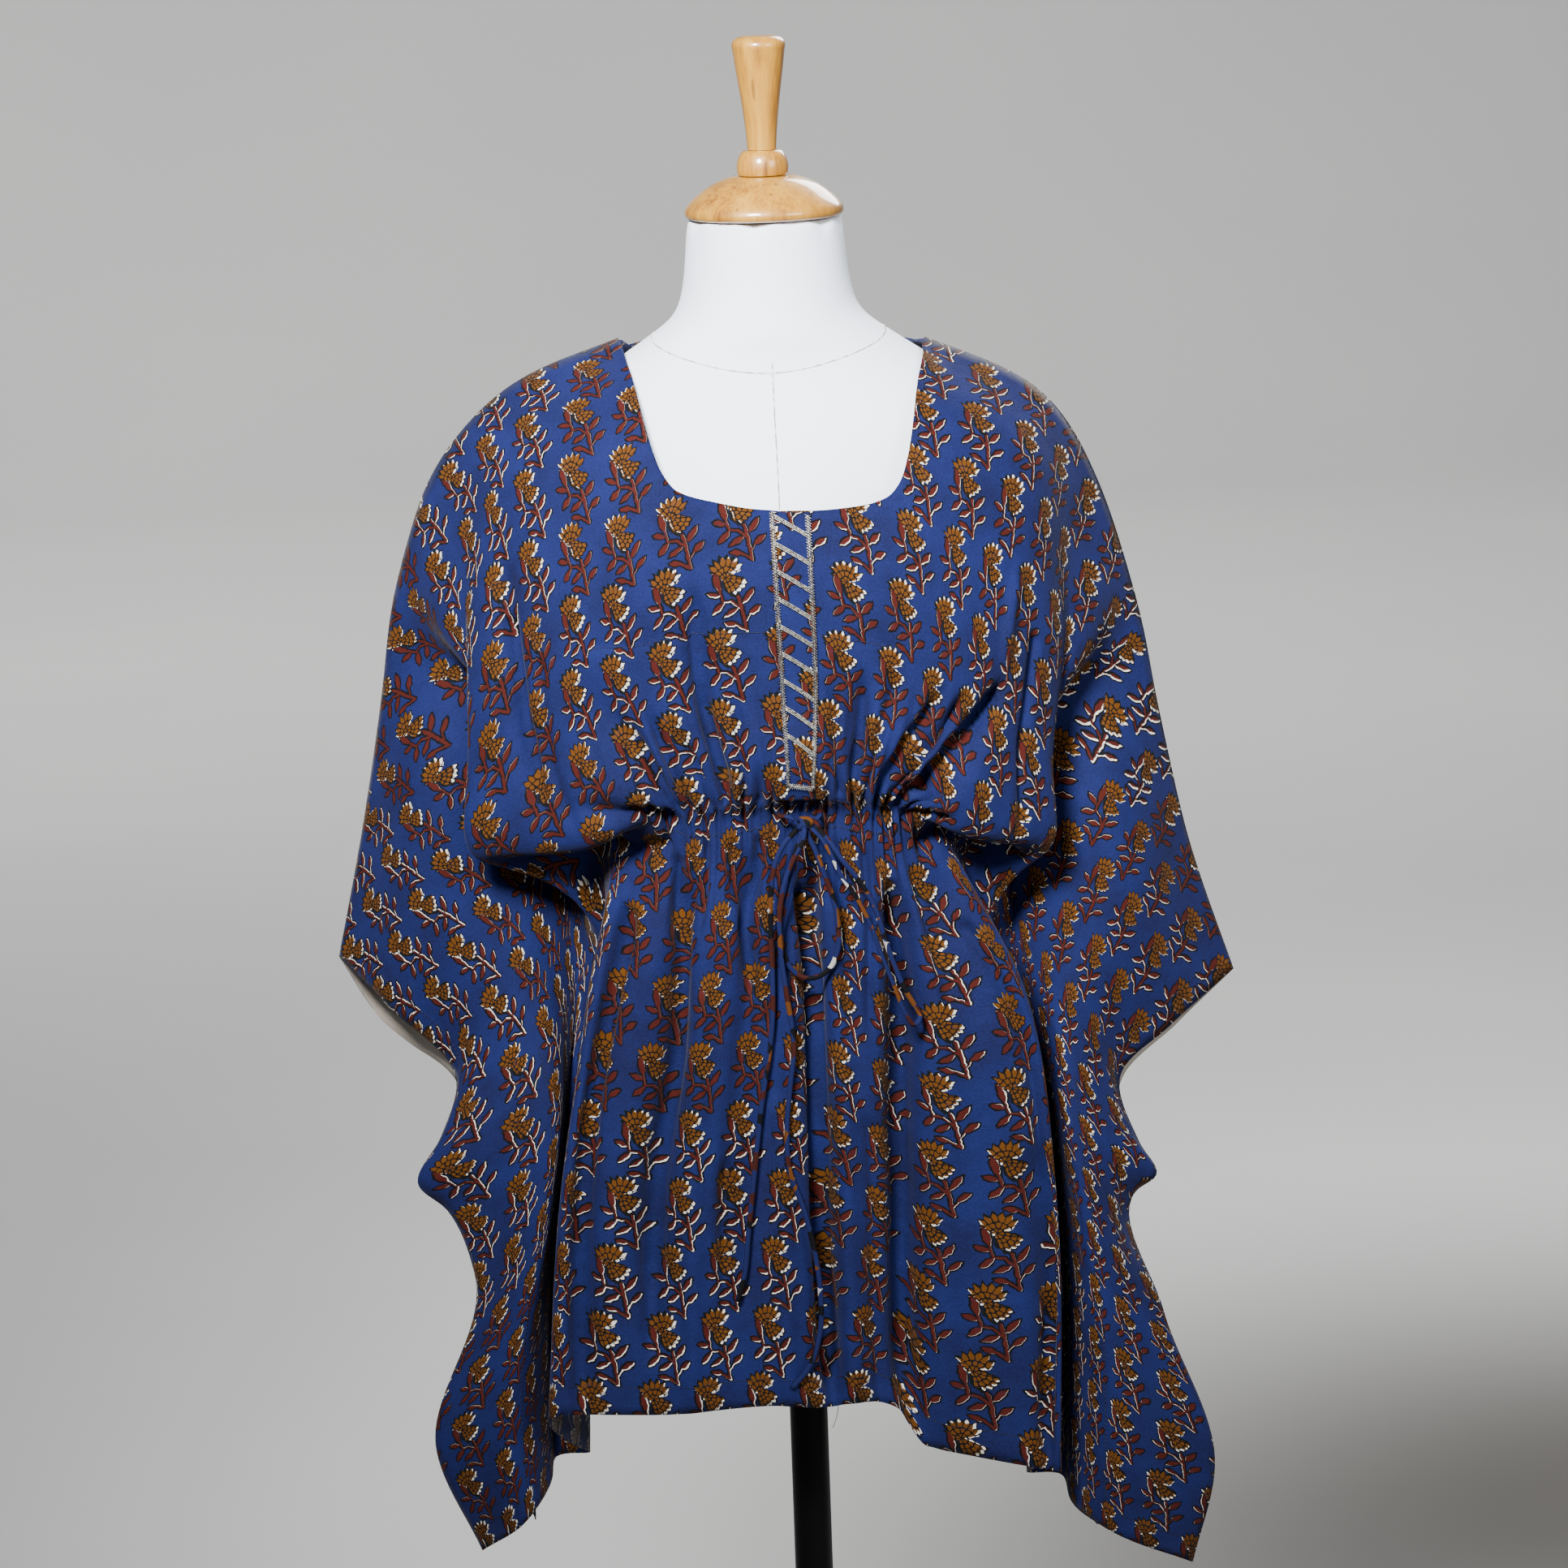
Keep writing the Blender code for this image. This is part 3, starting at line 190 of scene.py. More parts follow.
def add_node(tree, kind, inputs=(), **settings):
    """Adds a shader node. An input is a value, a socket, or a node, whose first live output is then used."""
    new = tree.nodes.new("ShaderNode" + kind)
    for name, value in settings.items():
        setattr(new, name, value)
    for key, value in inputs.items() if isinstance(inputs, dict) else enumerate(inputs):
        if isinstance(value, bpy.types.Node):
            value = next(s for s in value.outputs if s.enabled)
        if isinstance(value, bpy.types.NodeSocket):
            tree.links.new(value, new.inputs[key])
        elif value is not None:
            new.inputs[key].default_value = value
    return new


def new_material(name):
    """A material with an empty Principled shader; gives the material, its node adder and the shader."""
    mat = bpy.data.materials.new(name)
    mat.use_nodes = True
    shader = mat.node_tree.nodes["Principled BSDF"]
    return mat, partial(add_node, mat.node_tree), shader


def cotton_cord_finish():
    """Cotton cambric, block printed and sewn into a narrow tube: dark blue with specks of the print, matt."""
    mat, add, shader = new_material("printed cotton drawstring")
    place = add("TexCoord").outputs["Object"]
    specks = add("TexVoronoi", {"Vector": place, "Scale": 1 / (9 * MM)})
    tint = add("ValToRGB", {"Fac": add("SeparateColor", {"Color": specks.outputs["Color"]}).outputs[0]})
    ramp = tint.color_ramp
    ramp.interpolation = "CONSTANT"
    ramp.elements[0].color = linear("#10163c")
    ramp.elements[1].position, ramp.elements[1].color = 0.5, linear("#050508")
    for position, colour in ((0.64, "#4c2a0a"), (0.76, "#2c0f0b"), (0.86, "#10163c"), (0.97, "#8f8c88")):
        ramp.elements.new(position).color = linear(colour)
    weave = add("TexNoise", {"Vector": place, "Scale": 1 / (0.7 * MM), "Detail": 2.0})
    shaded = add("Mix", {0: 0.35, 6: tint, 7: weave.outputs["Color"]}, data_type="RGBA", blend_type="OVERLAY")
    bump = add("Bump", {"Strength": 0.35, "Distance": 0.2 * MM, "Height": weave})
    links = mat.node_tree.links
    links.new(shaded.outputs[2], shader.inputs["Base Color"])
    links.new(bump.outputs[0], shader.inputs["Normal"])
    shader.inputs["Roughness"].default_value = 0.85
    shader.inputs["Specular IOR Level"].default_value = 0.12
    return mat


def build_string(name, route, mat):
    """One stretch of the drawstring on its CAD route; gives the piece and its path in metres."""
    knots = chord_knots(route)
    path = curve_through(knots, route, np.linspace(0, knots[-1], max(8, round(knots[-1] / ROUTE_STEP))))
    piece = piece_from(name, *rod_along(path, STRING_WIDTH, STRING_DEPTH, STRING_SIDES), mat)
    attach(piece, "root")
    return piece, path * MM


def build_knot(mat):
    """The bow's knot: one turn of the flattened string pulled tight round the others."""
    turns = np.linspace(0, 2 * math.pi, KNOT_TURN_STEPS, endpoint=False)
    cx, cy, cz = KNOT_CENTRE
    verts, faces = [], []
    for t in turns:
        lean = 0.9 * math.sin(2 * t + 0.6)
        for k in range(KNOT_SIDES):
            a = 2 * math.pi * k / KNOT_SIDES
            ring = 1.0 + 0.09 * math.cos(3 * a + 2 * t)
            reach = 0.52 + 0.48 * math.cos(a) * ring
            verts.append((
                cx + KNOT_SIZE[0] * 0.62 * math.sin(a) * ring + lean,
                cy - KNOT_SIZE[1] * reach * math.cos(t),
                cz + KNOT_SIZE[2] * reach * math.sin(t),
            ))
    for j in range(len(turns)):
        m = (j + 1) % len(turns)
        for k in range(KNOT_SIDES):
            n = (k + 1) % KNOT_SIDES
            faces.append((j * KNOT_SIDES + k, m * KNOT_SIDES + k, m * KNOT_SIDES + n, j * KNOT_SIDES + n))
    piece = piece_from("bow_knot_wrap", verts, faces, mat)
    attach(piece, "root")
    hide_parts("bow_knot")
    return piece


cord_cotton = cotton_cord_finish()
knot = build_knot(cord_cotton)
for side, route in (("left", STRING_LEFT), ("right", STRING_RIGHT)):
    end, _ = build_string(f"string_end_{side}", route, cord_cotton)
    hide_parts(f"string_{side}")
for node, route, far_end in (
    ("bow_loop_left", LOOP_LEFT, "object"),
    ("bow_loop_right", LOOP_RIGHT, "object"),
    ("bow_tail_left", TAIL_LEFT, "bare"),
    ("bow_tail_right", TAIL_RIGHT, "bare"),
):
    stretch, path = build_string(f"{node}_tube", route, cord_cotton)
    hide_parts(node)


# ---------------------------------------------------------------- Front panel
# The front, cut in one with both sleeves and wings from 44 in block-printed cotton cambric. It hangs from the
# shoulder seams, is drawn in by the casing, and is sewn to the back up each side to the sleeve's mouth. In the
# flat cloth, in millimetres, U is the distance from the centre and V the distance down the grain.

CUT_HALF_WIDTH = 555.0
CUT_LENGTH = 765.0
NECK_HALF_WIDTH = 98.0
SHOULDER_SLOPE = 0.445
CASING_HALF = 125.0
SEAM_U = 475.0
ARMHOLE_V = 375.0
WALL = 1.6
CLOTH_THICKNESS = 0.7
CLOTH_LINES = (0.0, 95.0, 185.0, 250.0, 320.0, 400.0, 475.0, 555.0)
TUCK_LINE = 4
TUCK_FLAT = 16.0
Opening = namedtuple("Opening", "half yoke bust ribs pouch casing hip skirt hem")
FRONT_OPENING = Opening(11.0, 0, 0, 0, 20, 40, 65, 90, 90)
EASED_FROM = (150.0, 200.0)
EASED_TO = (500.0, 540.0)
EASING_PASSES = 8
# The neckline: at each V, its distance from the centre on the left and on the right
Neck = namedtuple("Neck", "v left right")
FRONT_NECK = (
    Neck(175, 0, 0), Neck(173, 16, 20), Neck(165, 40, 47), Neck(154, 60, 66), Neck(140, 69, 76),
    Neck(118, 76, 83), Neck(90, 82, 88), Neck(45, 90, 93), Neck(0, 98, 98),
)
# The line of the casing across the flat cloth
Casing = namedtuple("Casing", "u v")
CASING_LINE = (
    Casing(-555, 355), Casing(-300, 362), Casing(-125, 368), Casing(-50, 376), Casing(0, 375), Casing(50, 366),
    Casing(125, 351), Casing(300, 346), Casing(555, 346),
)
Section = namedtuple("Section", "name centre chest side edge tuck inner seam selvedge")
FRONT_LEFT = (
    Section("shoulder", (0, 3, 1394), (-97, 3, 1368), (-185, 3, 1330), (-231, 3, 1277),
            (-258, 3, 1204), (-272, 3, 1118), (-287, 3, 1039), (-307, 3, 951)),
    Section("yoke", (2, -92, 1312), (-99, -76, 1325), (-178, -58, 1282), (-207, -45, 1235),
            (-215, -42, 1160), (-232, -50, 1078), (-250, -50, 1002), (-274, -30, 923)),
    Section("bust", (4, -121, 1225), (-98, -112, 1245), (-168, -92, 1205), (-210, -68, 1165),
            (-172, -40, 1108), (-190, -42, 1036), (-212, -52, 965), (-229, -32, 868)),
    Section("ribs", (6, -124, 1140), (-92, -121, 1150), (-160, -107, 1110), (-213, -80, 1095),
            (-150, -38, 1050), (-166, -36, 995), (-183, -56, 925), (-240, -46, 835)),
    Section("pouch", (6, -124, 1072), (-68, -123, 1072), (-140, -110, 1035), (-217, -88, 1034),
            (-140, -38, 990), (-153, -36, 950), (-166, -70, 880), (-257, -52, 803)),
    Section("casing", (5, -115, 1057), (-64, -114, 1057), (-122, -90, 1045), (-130, -66, 1036),
            (-131, -40, 945), (-150, -40, 905), (-163, -80, 840), (-238, -48, 783)),
    Section("hip", (4, -119, 960), (-72, -118, 960), (-138, -97, 930), (-128, -72, 940),
            (-138, -42, 880), (-156, -54, 840), (-172, -88, 780), (-221, -58, 740)),
    Section("skirt", (3, -121, 810), (-85, -119, 810), (-162, -107, 790), (-144, -72, 790),
            (-156, -42, 760), (-170, -62, 720), (-190, -92, 680), (-252, -66, 622)),
    Section("hem", (1, -122, 657), (-90, -121, 655), (-174, -114, 652), (-158, -72, 622),
            (-160, -42, 608), (-174, -62, 596), (-190, -90, 577), (-224, -56, 546)),
)
FRONT_RIGHT = (
    Section("shoulder", (0, 3, 1394), (101, 3, 1362), (188, 3, 1315), (222, 3, 1250),
            (243, 3, 1176), (258, 3, 1089), (274, 3, 1010), (302, 3, 921)),
    Section("yoke", (2, -92, 1312), (101, -76, 1319), (178, -58, 1265), (195, -42, 1210),
            (198, -40, 1135), (214, -48, 1050), (234, -50, 976), (256, -30, 890)),
    Section("bust", (4, -121, 1225), (100, -112, 1242), (160, -92, 1202), (190, -66, 1150),
            (160, -40, 1085), (182, -42, 1008), (205, -54, 934), (221, -32, 856)),
    Section("ribs", (6, -124, 1140), (92, -121, 1146), (146, -107, 1108), (181, -78, 1085),
            (144, -38, 1030), (166, -38, 965), (189, -62, 885), (232, -46, 814)),
    Section("pouch", (6, -124, 1072), (72, -123, 1070), (126, -110, 1034), (180, -88, 1024),
            (140, -38, 975), (164, -42, 915), (190, -74, 840), (243, -52, 792)),
    Section("casing", (5, -115, 1057), (69, -114, 1055), (110, -90, 1043), (121, -66, 1030),
            (142, -40, 930), (168, -50, 870), (195, -82, 795), (229, -48, 780)),
    Section("hip", (4, -119, 960), (76, -115, 950), (158, -94, 928), (142, -70, 935),
            (156, -42, 860), (176, -58, 800), (200, -86, 740), (245, -58, 699)),
    Section("skirt", (3, -121, 810), (86, -110, 790), (174, -101, 786), (154, -70, 786),
            (162, -42, 750), (180, -62, 690), (202, -88, 655), (277, -64, 594)),
    Section("hem", (1, -122, 657), (84, -106, 622), (172, -102, 600), (154, -66, 594),
            (162, -42, 583), (178, -60, 568), (200, -84, 555), (261, -52, 519)),
)

# Folds and creases in the flat cloth: a trough from (u0, v0) to (u1, v1), its half width and depth
Fold = namedtuple("Fold", "name width depth route")
FRONT_FOLDS = (
    Fold("centre skirt", 10, 17, ((13, 400), (16, 520), (17, 640), (21, 775))),
    Fold("right skirt", 11, 22, ((98, 392), (92, 460), (80, 560), (76, 660), (78, 775))),
    Fold("left skirt", 12, 12, ((-100, 395), (-96, 520), (-106, 620), (-106, 720))),
    Fold("left of centre", 9, 9, ((-44, 392), (-38, 480), (-50, 600), (-56, 700))),
    Fold("far left skirt", 10, 8, ((-142, 430), (-150, 560), (-146, 775))),
    Fold("right casing end", 10, 9, ((136, 380), (128, 440), (140, 510))),
    Fold("right of the panel", 11, 10, ((150, 560), (160, 680), (158, 775))),
    Fold("left armhole crease", 9, 6, ((-198, 150), (-200, 215), (-190, 330))),
    Fold("right fan, lowest", 8, 5, ((118, 350), (160, 315))),
    Fold("right fan, outer", 10, 11, ((97, 350), (142, 292), (184, 222))),
    Fold("right fan, middle", 9, 8, ((80, 350), (100, 305), (124, 250))),
    Fold("right fan, inner", 9, 7, ((57, 352), (50, 300), (48, 255))),
    Fold("left fan, outer", 11, 7, ((-104, 358), (-118, 300), (-140, 250))),
    Fold("left fan, middle", 10, 7, ((-82, 362), (-86, 310), (-96, 270))),
    Fold("left fan, inner", 9, 8, ((-61, 366), (-56, 290), (-52, 216))),
)
# Sharper creases that the thin cloth shows on top of those folds; a ridge has a depth below 0
FRONT_CREASES = (
    Fold("right fan 1", 3.2, 5.8, ((43, 356), (34, 310), (25, 276))),
    Fold("right fan 2", 3.2, 7.2, ((56, 363), (52, 310), (48, 265))),
    Fold("right fan 3", 4, 5.4, ((65, 362), (70, 305), (75, 252))),
    Fold("right fan 4", 3.6, 7.6, ((77, 358), (94, 300), (119, 254))),
    Fold("right fan 5", 3.8, 11.2, ((87, 360), (108, 304), (145, 246))),
    Fold("right fan 6", 3.8, 12.1, ((96, 358), (135, 290), (184, 227))),
    Fold("right fan 7", 3.4, 6.8, ((108, 356), (141, 303))),
    Fold("right fan 8", 3.6, 7.2, ((114, 360), (160, 317))),
    Fold("right pouch edge", 5, 9, ((128, 372), (170, 362), (265, 331))),
    Fold("left fan 1", 3.4, 9.4, ((-61, 369), (-56, 290), (-52, 216))),
    Fold("left fan 2", 3.2, 6.8, ((-74, 369), (-77, 305))),
    Fold("left fan 3", 3.4, 7.6, ((-90, 370), (-94, 284))),
    Fold("left fan 4", 3.4, 7.2, ((-99, 366), (-115, 285))),
    Fold("left fan 5", 6, 9, ((-108, 371), (-172, 323))),
    Fold("left fan 6", 3.2, 6.8, ((-44, 368), (-38, 320), (-34, 285))),
    Fold("left fan 7", 3, 5.4, ((-30, 372), (-28, 330))),
    Fold("left pouch edge", 5, 9.8, ((-112, 386), (-150, 399), (-200, 394), (-249, 401))),
    Fold("right armhole ridge", 5, -4.5, ((180, 165), (177, 230))),
    Fold("left armhole crease", 4, 6, ((-200, 190), (-196, 260), (-189, 330))),
    Fold("left armhole crease 2", 4, 3.9, ((-176, 230), (-180, 300), (-170, 350))),
    Fold("right armhole crease", 4, 6, ((208, 190), (206, 260), (214, 320))),
    Fold("skirt 1", 5.5, 7.4, ((-113, 392), (-97, 460), (-96, 526), (-105, 606), (-108, 735))),
    Fold("skirt 2", 4.4, 5, ((-81, 385), (-84, 450))),
    Fold("skirt 3", 4, 4.4, ((-56, 388), (-48, 440))),
    Fold("skirt 4", 4.4, 6.1, ((-28, 388), (-40, 430), (-42, 446), (-36, 500))),
    Fold("skirt 5", 5, 5, ((-15, 410), (-20, 470), (-25, 530))),
    Fold("skirt 6", 5.5, 8.2, ((8, 420), (15, 481), (14, 643), (22, 775))),
    Fold("skirt 7", 6.6, 4.5, ((98, 392), (92, 460), (80, 560), (76, 660), (78, 775))),
    Fold("skirt 8", 5, 5.8, ((122, 384), (118, 440), (122, 520))),
    Fold("skirt 9", 5, 5.6, ((-54, 600), (-57, 720))),
    Fold("skirt 10", 4.4, 4.4, ((40, 384), (42, 440), (46, 520))),
    Fold("skirt 11", 4.4, 4.4, ((66, 380), (68, 430), (60, 510))),
    Fold("skirt 12", 6.6, 5.8, ((56, 560), (54, 660), (58, 775))),
    Fold("skirt 13", 6.6, 8.8, ((-142, 430), (-152, 560), (-148, 775))),
    Fold("skirt 14", 6.6, 8, ((140, 420), (158, 520), (164, 645), (160, 775))),
    Fold("skirt 15", 7.2, -4.4, ((-76, 480), (-78, 620), (-80, 775))),
    Fold("skirt 16", 7, -3.4, ((118, 470), (106, 600), (104, 775))),
    Fold("skirt 17", 6.6, -4.4, ((36, 520), (34, 660), (38, 775))),
    Fold("skirt 18", 6.6, -4.4, ((-16, 560), (-14, 660), (-12, 775))),
    Fold("facing edge, left", 1.9, 1.3, ((-132, 238), (-60, 246), (-6, 251))),
    Fold("facing edge, right", 1.9, 1.3, ((19, 251), (82, 245))),
)
CREASE_START = 7.0
CREASE_FADE = 26.0
PUCKER = 2.0
PUCKER_PITCH = 7.6
PUCKER_REACH = 54.0
PUCKER_UNEVEN = (1.7, 13.0)
PUCKER_FAN = (0.02, 9.0)
GATHER_PITCH = 12.5
GATHER_DEPTH = 1.6
GATHER_RISE = 110.0
GATHER_FALL = 85.0
GATHER_SPREAD = 0.25
GATHER_MARGIN = 18.0
GATHER_FADE = 22.0
CLEAR_OF_BAND = (16.0, 26.0)
BAND_LEFT = -6.25
BAND_RIGHT = 18.75
BAND_END_V = 351.0
BAND_FOOT = 12.0
CASING_DIP = 3.0
CASING_DIP_WIDTH = 9.0
CASING_FADE = (8.0, 20.0)
FOLD_START = 30.0
FOLD_FADE = 60.0
HEM_STEP = 20.0
HEM_STEP_U = (0.0, 66.0, 72.0, 90.0)
HEM_STEP_V = (560.0, 765.0)
FLAT_STEP = 5.0
FLAT_U = np.arange(-CUT_HALF_WIDTH, CUT_HALF_WIDTH + FLAT_STEP / 2, FLAT_STEP)
FLAT_V = np.arange(0.0, CUT_LENGTH + FLAT_STEP / 2, FLAT_STEP)

# The dress form under it: height, half width, depth to the front and depth to the back
Ring = namedtuple("Ring", "z half front back")
TORSO_RINGS = (
    Ring(1445, 52.5, 50, 50), Ring(1420, 54, 52, 52), Ring(1395, 57, 56, 55), Ring(1380, 63, 61, 58),
    Ring(1370, 77, 64, 60), Ring(1360, 92, 64, 60), Ring(1347, 112, 67, 62), Ring(1333, 135, 73, 66),
    Ring(1316, 162, 85, 75), Ring(1295, 172, 94, 81), Ring(1266, 174, 106, 87), Ring(1230, 168, 114, 91),
    Ring(1190, 160, 118, 95), Ring(1150, 149, 114, 95), Ring(1105, 128, 100, 92), Ring(1060, 112, 88, 88),
    Ring(1010, 114, 88, 90), Ring(950, 124, 92, 95), Ring(890, 133, 96, 99), Ring(840, 136, 97, 101),
    Ring(805, 132, 94, 98), Ring(790, 120, 86, 90),
)
FRONT_CLEARANCE = 4.5


def ease(value, low, high):
    """0 below low, 1 above high, and a smooth rise between them."""
    t = np.clip((value - low) / (high - low), 0.0, 1.0)
    return t * t * (3 - 2 * t)


def rising_map(sources, targets, at):
    """A smooth map from sources to targets that never turns back, both lists growing."""
    steps = np.diff(sources)
    slopes = np.diff(targets) / steps
    rates = np.empty(len(sources))
    rates[0], rates[-1] = slopes[0], slopes[-1]
    rates[1:-1] = 2 * slopes[:-1] * slopes[1:] / (slopes[:-1] + slopes[1:])
    seg = np.clip(np.searchsorted(sources, at, side="right") - 1, 0, len(sources) - 2)
    h = steps[seg]
    t = (at - np.asarray(sources)[seg]) / h
    targets = np.asarray(targets)
    return (
        targets[seg] * (1 + 2 * t) * (1 - t) ** 2
        + rates[seg] * h * t * (1 - t) ** 2
        + targets[seg + 1] * t**2 * (3 - 2 * t)
        + rates[seg + 1] * h * t**2 * (t - 1)
    )


def inside_form(points, margin):
    """Below 0 where a point is within a margin of the dress form's surface."""
    heights = [r.z for r in reversed(TORSO_RINGS)]
    half, front, back = (
        np.interp(points[..., 2], heights, [getattr(r, part) for r in reversed(TORSO_RINGS)])
        for part in Ring._fields[1:]
    )
    depth = np.where(points[..., 1] < 0, front, back)
    return np.hypot(points[..., 0] / (half + margin), points[..., 1] / (depth + margin)) - 1.0


def clear_of_form(points, margin):
    """Moves points that would sink into the dress form out to its surface."""
    points = points.copy()
    low, high = TORSO_RINGS[-1].z - 20, TORSO_RINGS[2].z
    for _ in range(6):
        value = inside_form(points, margin)
        slope = np.empty_like(points)
        for axis in range(3):
            step = np.zeros(3)
            step[axis] = 0.5
            slope[..., axis] = inside_form(points + step, margin) - inside_form(points - step, margin)
        size = np.maximum(np.linalg.norm(slope, axis=-1), 1e-6)
        sunk = (value < 0) & (points[..., 2] > low) & (points[..., 2] < high)
        points += (slope / size[..., None]) * np.where(sunk, np.minimum(-value / size, 12.0), 0.0)[..., None]
    return points


def top_edge(u):
    """V of the cut's sloped top edge."""
    return SHOULDER_SLOPE * np.maximum(np.abs(u) - NECK_HALF_WIDTH, 0.0)


def cloth_start(u, neck):
    """V at which the cloth begins: the neckline near the centre, the shoulder edge beyond it."""
    depth = neck[0].v
    fallen = [depth - row.v for row in neck]
    left, right = (
        rising_map([getattr(row, side) for row in neck], fallen, np.abs(u)) for side in ("left", "right"))
    return np.where(np.abs(u) < NECK_HALF_WIDTH, depth - np.where(u < 0, left, right), top_edge(u))


def casing_at(u):
    """V of the casing line at U."""
    across, down = np.array(CASING_LINE, float).T
    return curve_through(across, down[:, None], np.ravel(u))[:, 0].reshape(np.shape(u))


def half_row(section, opening, side):
    """A section's points from the centre out, its tuck opened to a round bottom below the shoulder."""
    points = [np.array(p, float) for p in section[1:]]
    tuck = points[TUCK_LINE]
    if section.name == "shoulder":
        opened = []
        for k in (-1, 1):
            flat_step = abs(CLOTH_LINES[TUCK_LINE + k] - CLOTH_LINES[TUCK_LINE])
            opened.append(tuck + (points[TUCK_LINE + k] - tuck) * TUCK_FLAT / flat_step)
    else:
        turn = math.radians(getattr(opening, section.name))
        out = np.array([side * math.sin(turn), math.cos(turn), 0.0]) * opening.half
        opened = [tuck - out, tuck + out]
    return points[:TUCK_LINE] + opened + points[TUCK_LINE + 1:]


def rounded(grid, held):
    """The grid eased where it is held, so that the cloth never bends sharper than its wall allows."""
    for _ in range(EASING_PASSES):
        soft = np.pad(grid, ((1, 1), (0, 0), (0, 0)), mode="reflect", reflect_type="odd")
        soft = (soft[:-2] + 2 * soft[1:-1] + soft[2:]) / 4
        soft = np.pad(soft, ((0, 0), (1, 1), (0, 0)), mode="reflect", reflect_type="odd")
        soft = (soft[:, :-2] + 2 * soft[:, 1:-1] + soft[:, 2:]) / 4
        grid = grid + (soft - grid) * held[None, :, None]
    return grid


def fall(left, right, opening):
    """Where the flat cloth's grid (FLAT_V rows by FLAT_U columns) hangs, before folds and gathers."""
    tuck = CLOTH_LINES[TUCK_LINE]
    half = [*CLOTH_LINES[:TUCK_LINE], tuck - TUCK_FLAT, tuck + TUCK_FLAT, *CLOTH_LINES[TUCK_LINE + 1:]]
    lines = np.array([-u for u in reversed(half)] + half[1:])
    across = []
    for a, b in zip(left, right):
        row = half_row(a, opening, -1)[::-1] + half_row(b, opening, 1)[1:]
        knots = chord_knots(row)
        across.append(curve_through(knots, row, rising_map(lines, knots, FLAT_U)))
    across = np.array(across)
    placed = np.empty((len(FLAT_V), len(FLAT_U), 3))
    for i, u in enumerate(FLAT_U):
        knots = chord_knots(across[:, i])
        path = curve_through(knots, across[:, i], np.linspace(0.0, knots[-1], 200))
        run = chord_knots(path)
        top = top_edge(u)
        v_of_run = top + run / run[-1] * (CUT_LENGTH - top)
        above = np.minimum(FLAT_V - top, 0.0)[:, None] * (path[1] - path[0]) / (v_of_run[1] - v_of_run[0])
        hung = np.stack([np.interp(FLAT_V, v_of_run, path[:, axis]) for axis in range(3)], axis=1)
        placed[:, i] = hung + above
    return rounded(placed, ease(np.abs(FLAT_U), *EASED_FROM) * (1 - ease(np.abs(FLAT_U), *EASED_TO)))


def normals_of(grid, facing):
    """Unit normals of the hung grid: facing is 1 for the front's outer side and -1 for the back's."""
    out = np.cross(np.gradient(grid, axis=0), np.gradient(grid, axis=1)) * facing
    return out / np.maximum(np.linalg.norm(out, axis=-1), 1e-9)[..., None]


def fold_depth(folds, u, v, start_over=FOLD_START, end_over=FOLD_FADE):
    """Depth of all drawn folds at points of the flat cloth; a fold fades at both ends of its route."""
    total = np.zeros_like(u)
    for fold in folds:
        route = np.array(fold.route, float)
        marks = chord_knots(route)
        nearest = np.full_like(u, np.inf)
        run = np.zeros_like(u)
        for start, way, mark in zip(route, np.diff(route, axis=0), marks):
            length = math.hypot(*way)
            along = np.clip(((u - start[0]) * way[0] + (v - start[1]) * way[1]) / length, 0, length)
            off = np.hypot(u - start[0] - way[0] * along / length, v - start[1] - way[1] * along / length)
            closer = off < nearest
            nearest = np.where(closer, off, nearest)
            run = np.where(closer, mark + along, run)
        shown = ease(run, 0, start_over) * ease(marks[-1] - run, 0, end_over)
        total += fold.depth * shown * np.exp(-((nearest / fold.width) ** 2))
    return total


def hem_step(u, v):
    """How far the skirt's middle is held up beside the deep fold on its right."""
    low, full, last, gone = HEM_STEP_U
    return HEM_STEP * ease(u, low, full) * (1 - ease(u, last, gone)) * ease(v, *HEM_STEP_V)


def gather_depth(u, v):
    """Waves that run up and down from the drawn-in casing and spread as they go."""
    off = v - casing_at(u)
    away = np.abs(off)
    reach = np.where(off < 0, GATHER_RISE, GATHER_FALL)
    within = ease(CASING_HALF + GATHER_MARGIN + GATHER_SPREAD * away - np.abs(u), 0, GATHER_FADE)
    beside_band = ease(np.abs(u - (BAND_LEFT + BAND_RIGHT) / 2), *CLEAR_OF_BAND)
    strength = np.clip(1.0 - away / reach, 0, 1) * within * np.where(off < -BAND_FOOT, beside_band, 1.0)
    phase = 2 * math.pi * u / GATHER_PITCH
    held = ease(CASING_HALF + CASING_FADE[0] - np.abs(u), 0, CASING_FADE[1])
    dip = CASING_DIP * np.exp(-((off / CASING_DIP_WIDTH) ** 2)) * held
    return GATHER_DEPTH * strength * (1 - np.cos(phase)) + dip


def fine_depth(u, v):
    """What the thin cloth shows beyond its main folds: gathers, uneven puckers and sharp creases."""
    off = v - casing_at(u)
    beside_band = ease(np.abs(u - (BAND_LEFT + BAND_RIGHT) / 2), *CLEAR_OF_BAND)
    held = ease(CASING_HALF + GATHER_MARGIN - np.abs(u), 0, GATHER_FADE)
    held = held * np.where(off < -BAND_FOOT, beside_band, 1.0)
    close = np.clip(1 - np.abs(off) / PUCKER_REACH, 0, 1) ** 1.5
    uneven = PUCKER_UNEVEN[0] * np.sin(u / PUCKER_UNEVEN[1])
    fanned = off * np.sin(u / PUCKER_FAN[1]) * PUCKER_FAN[0]
    wave = np.sin(2 * math.pi * u / PUCKER_PITCH + uneven + fanned)
    creases = fold_depth(FRONT_CREASES, u, v, CREASE_START, CREASE_FADE)
    return gather_depth(u, v) + PUCKER * close * held * (1 + wave) + creases


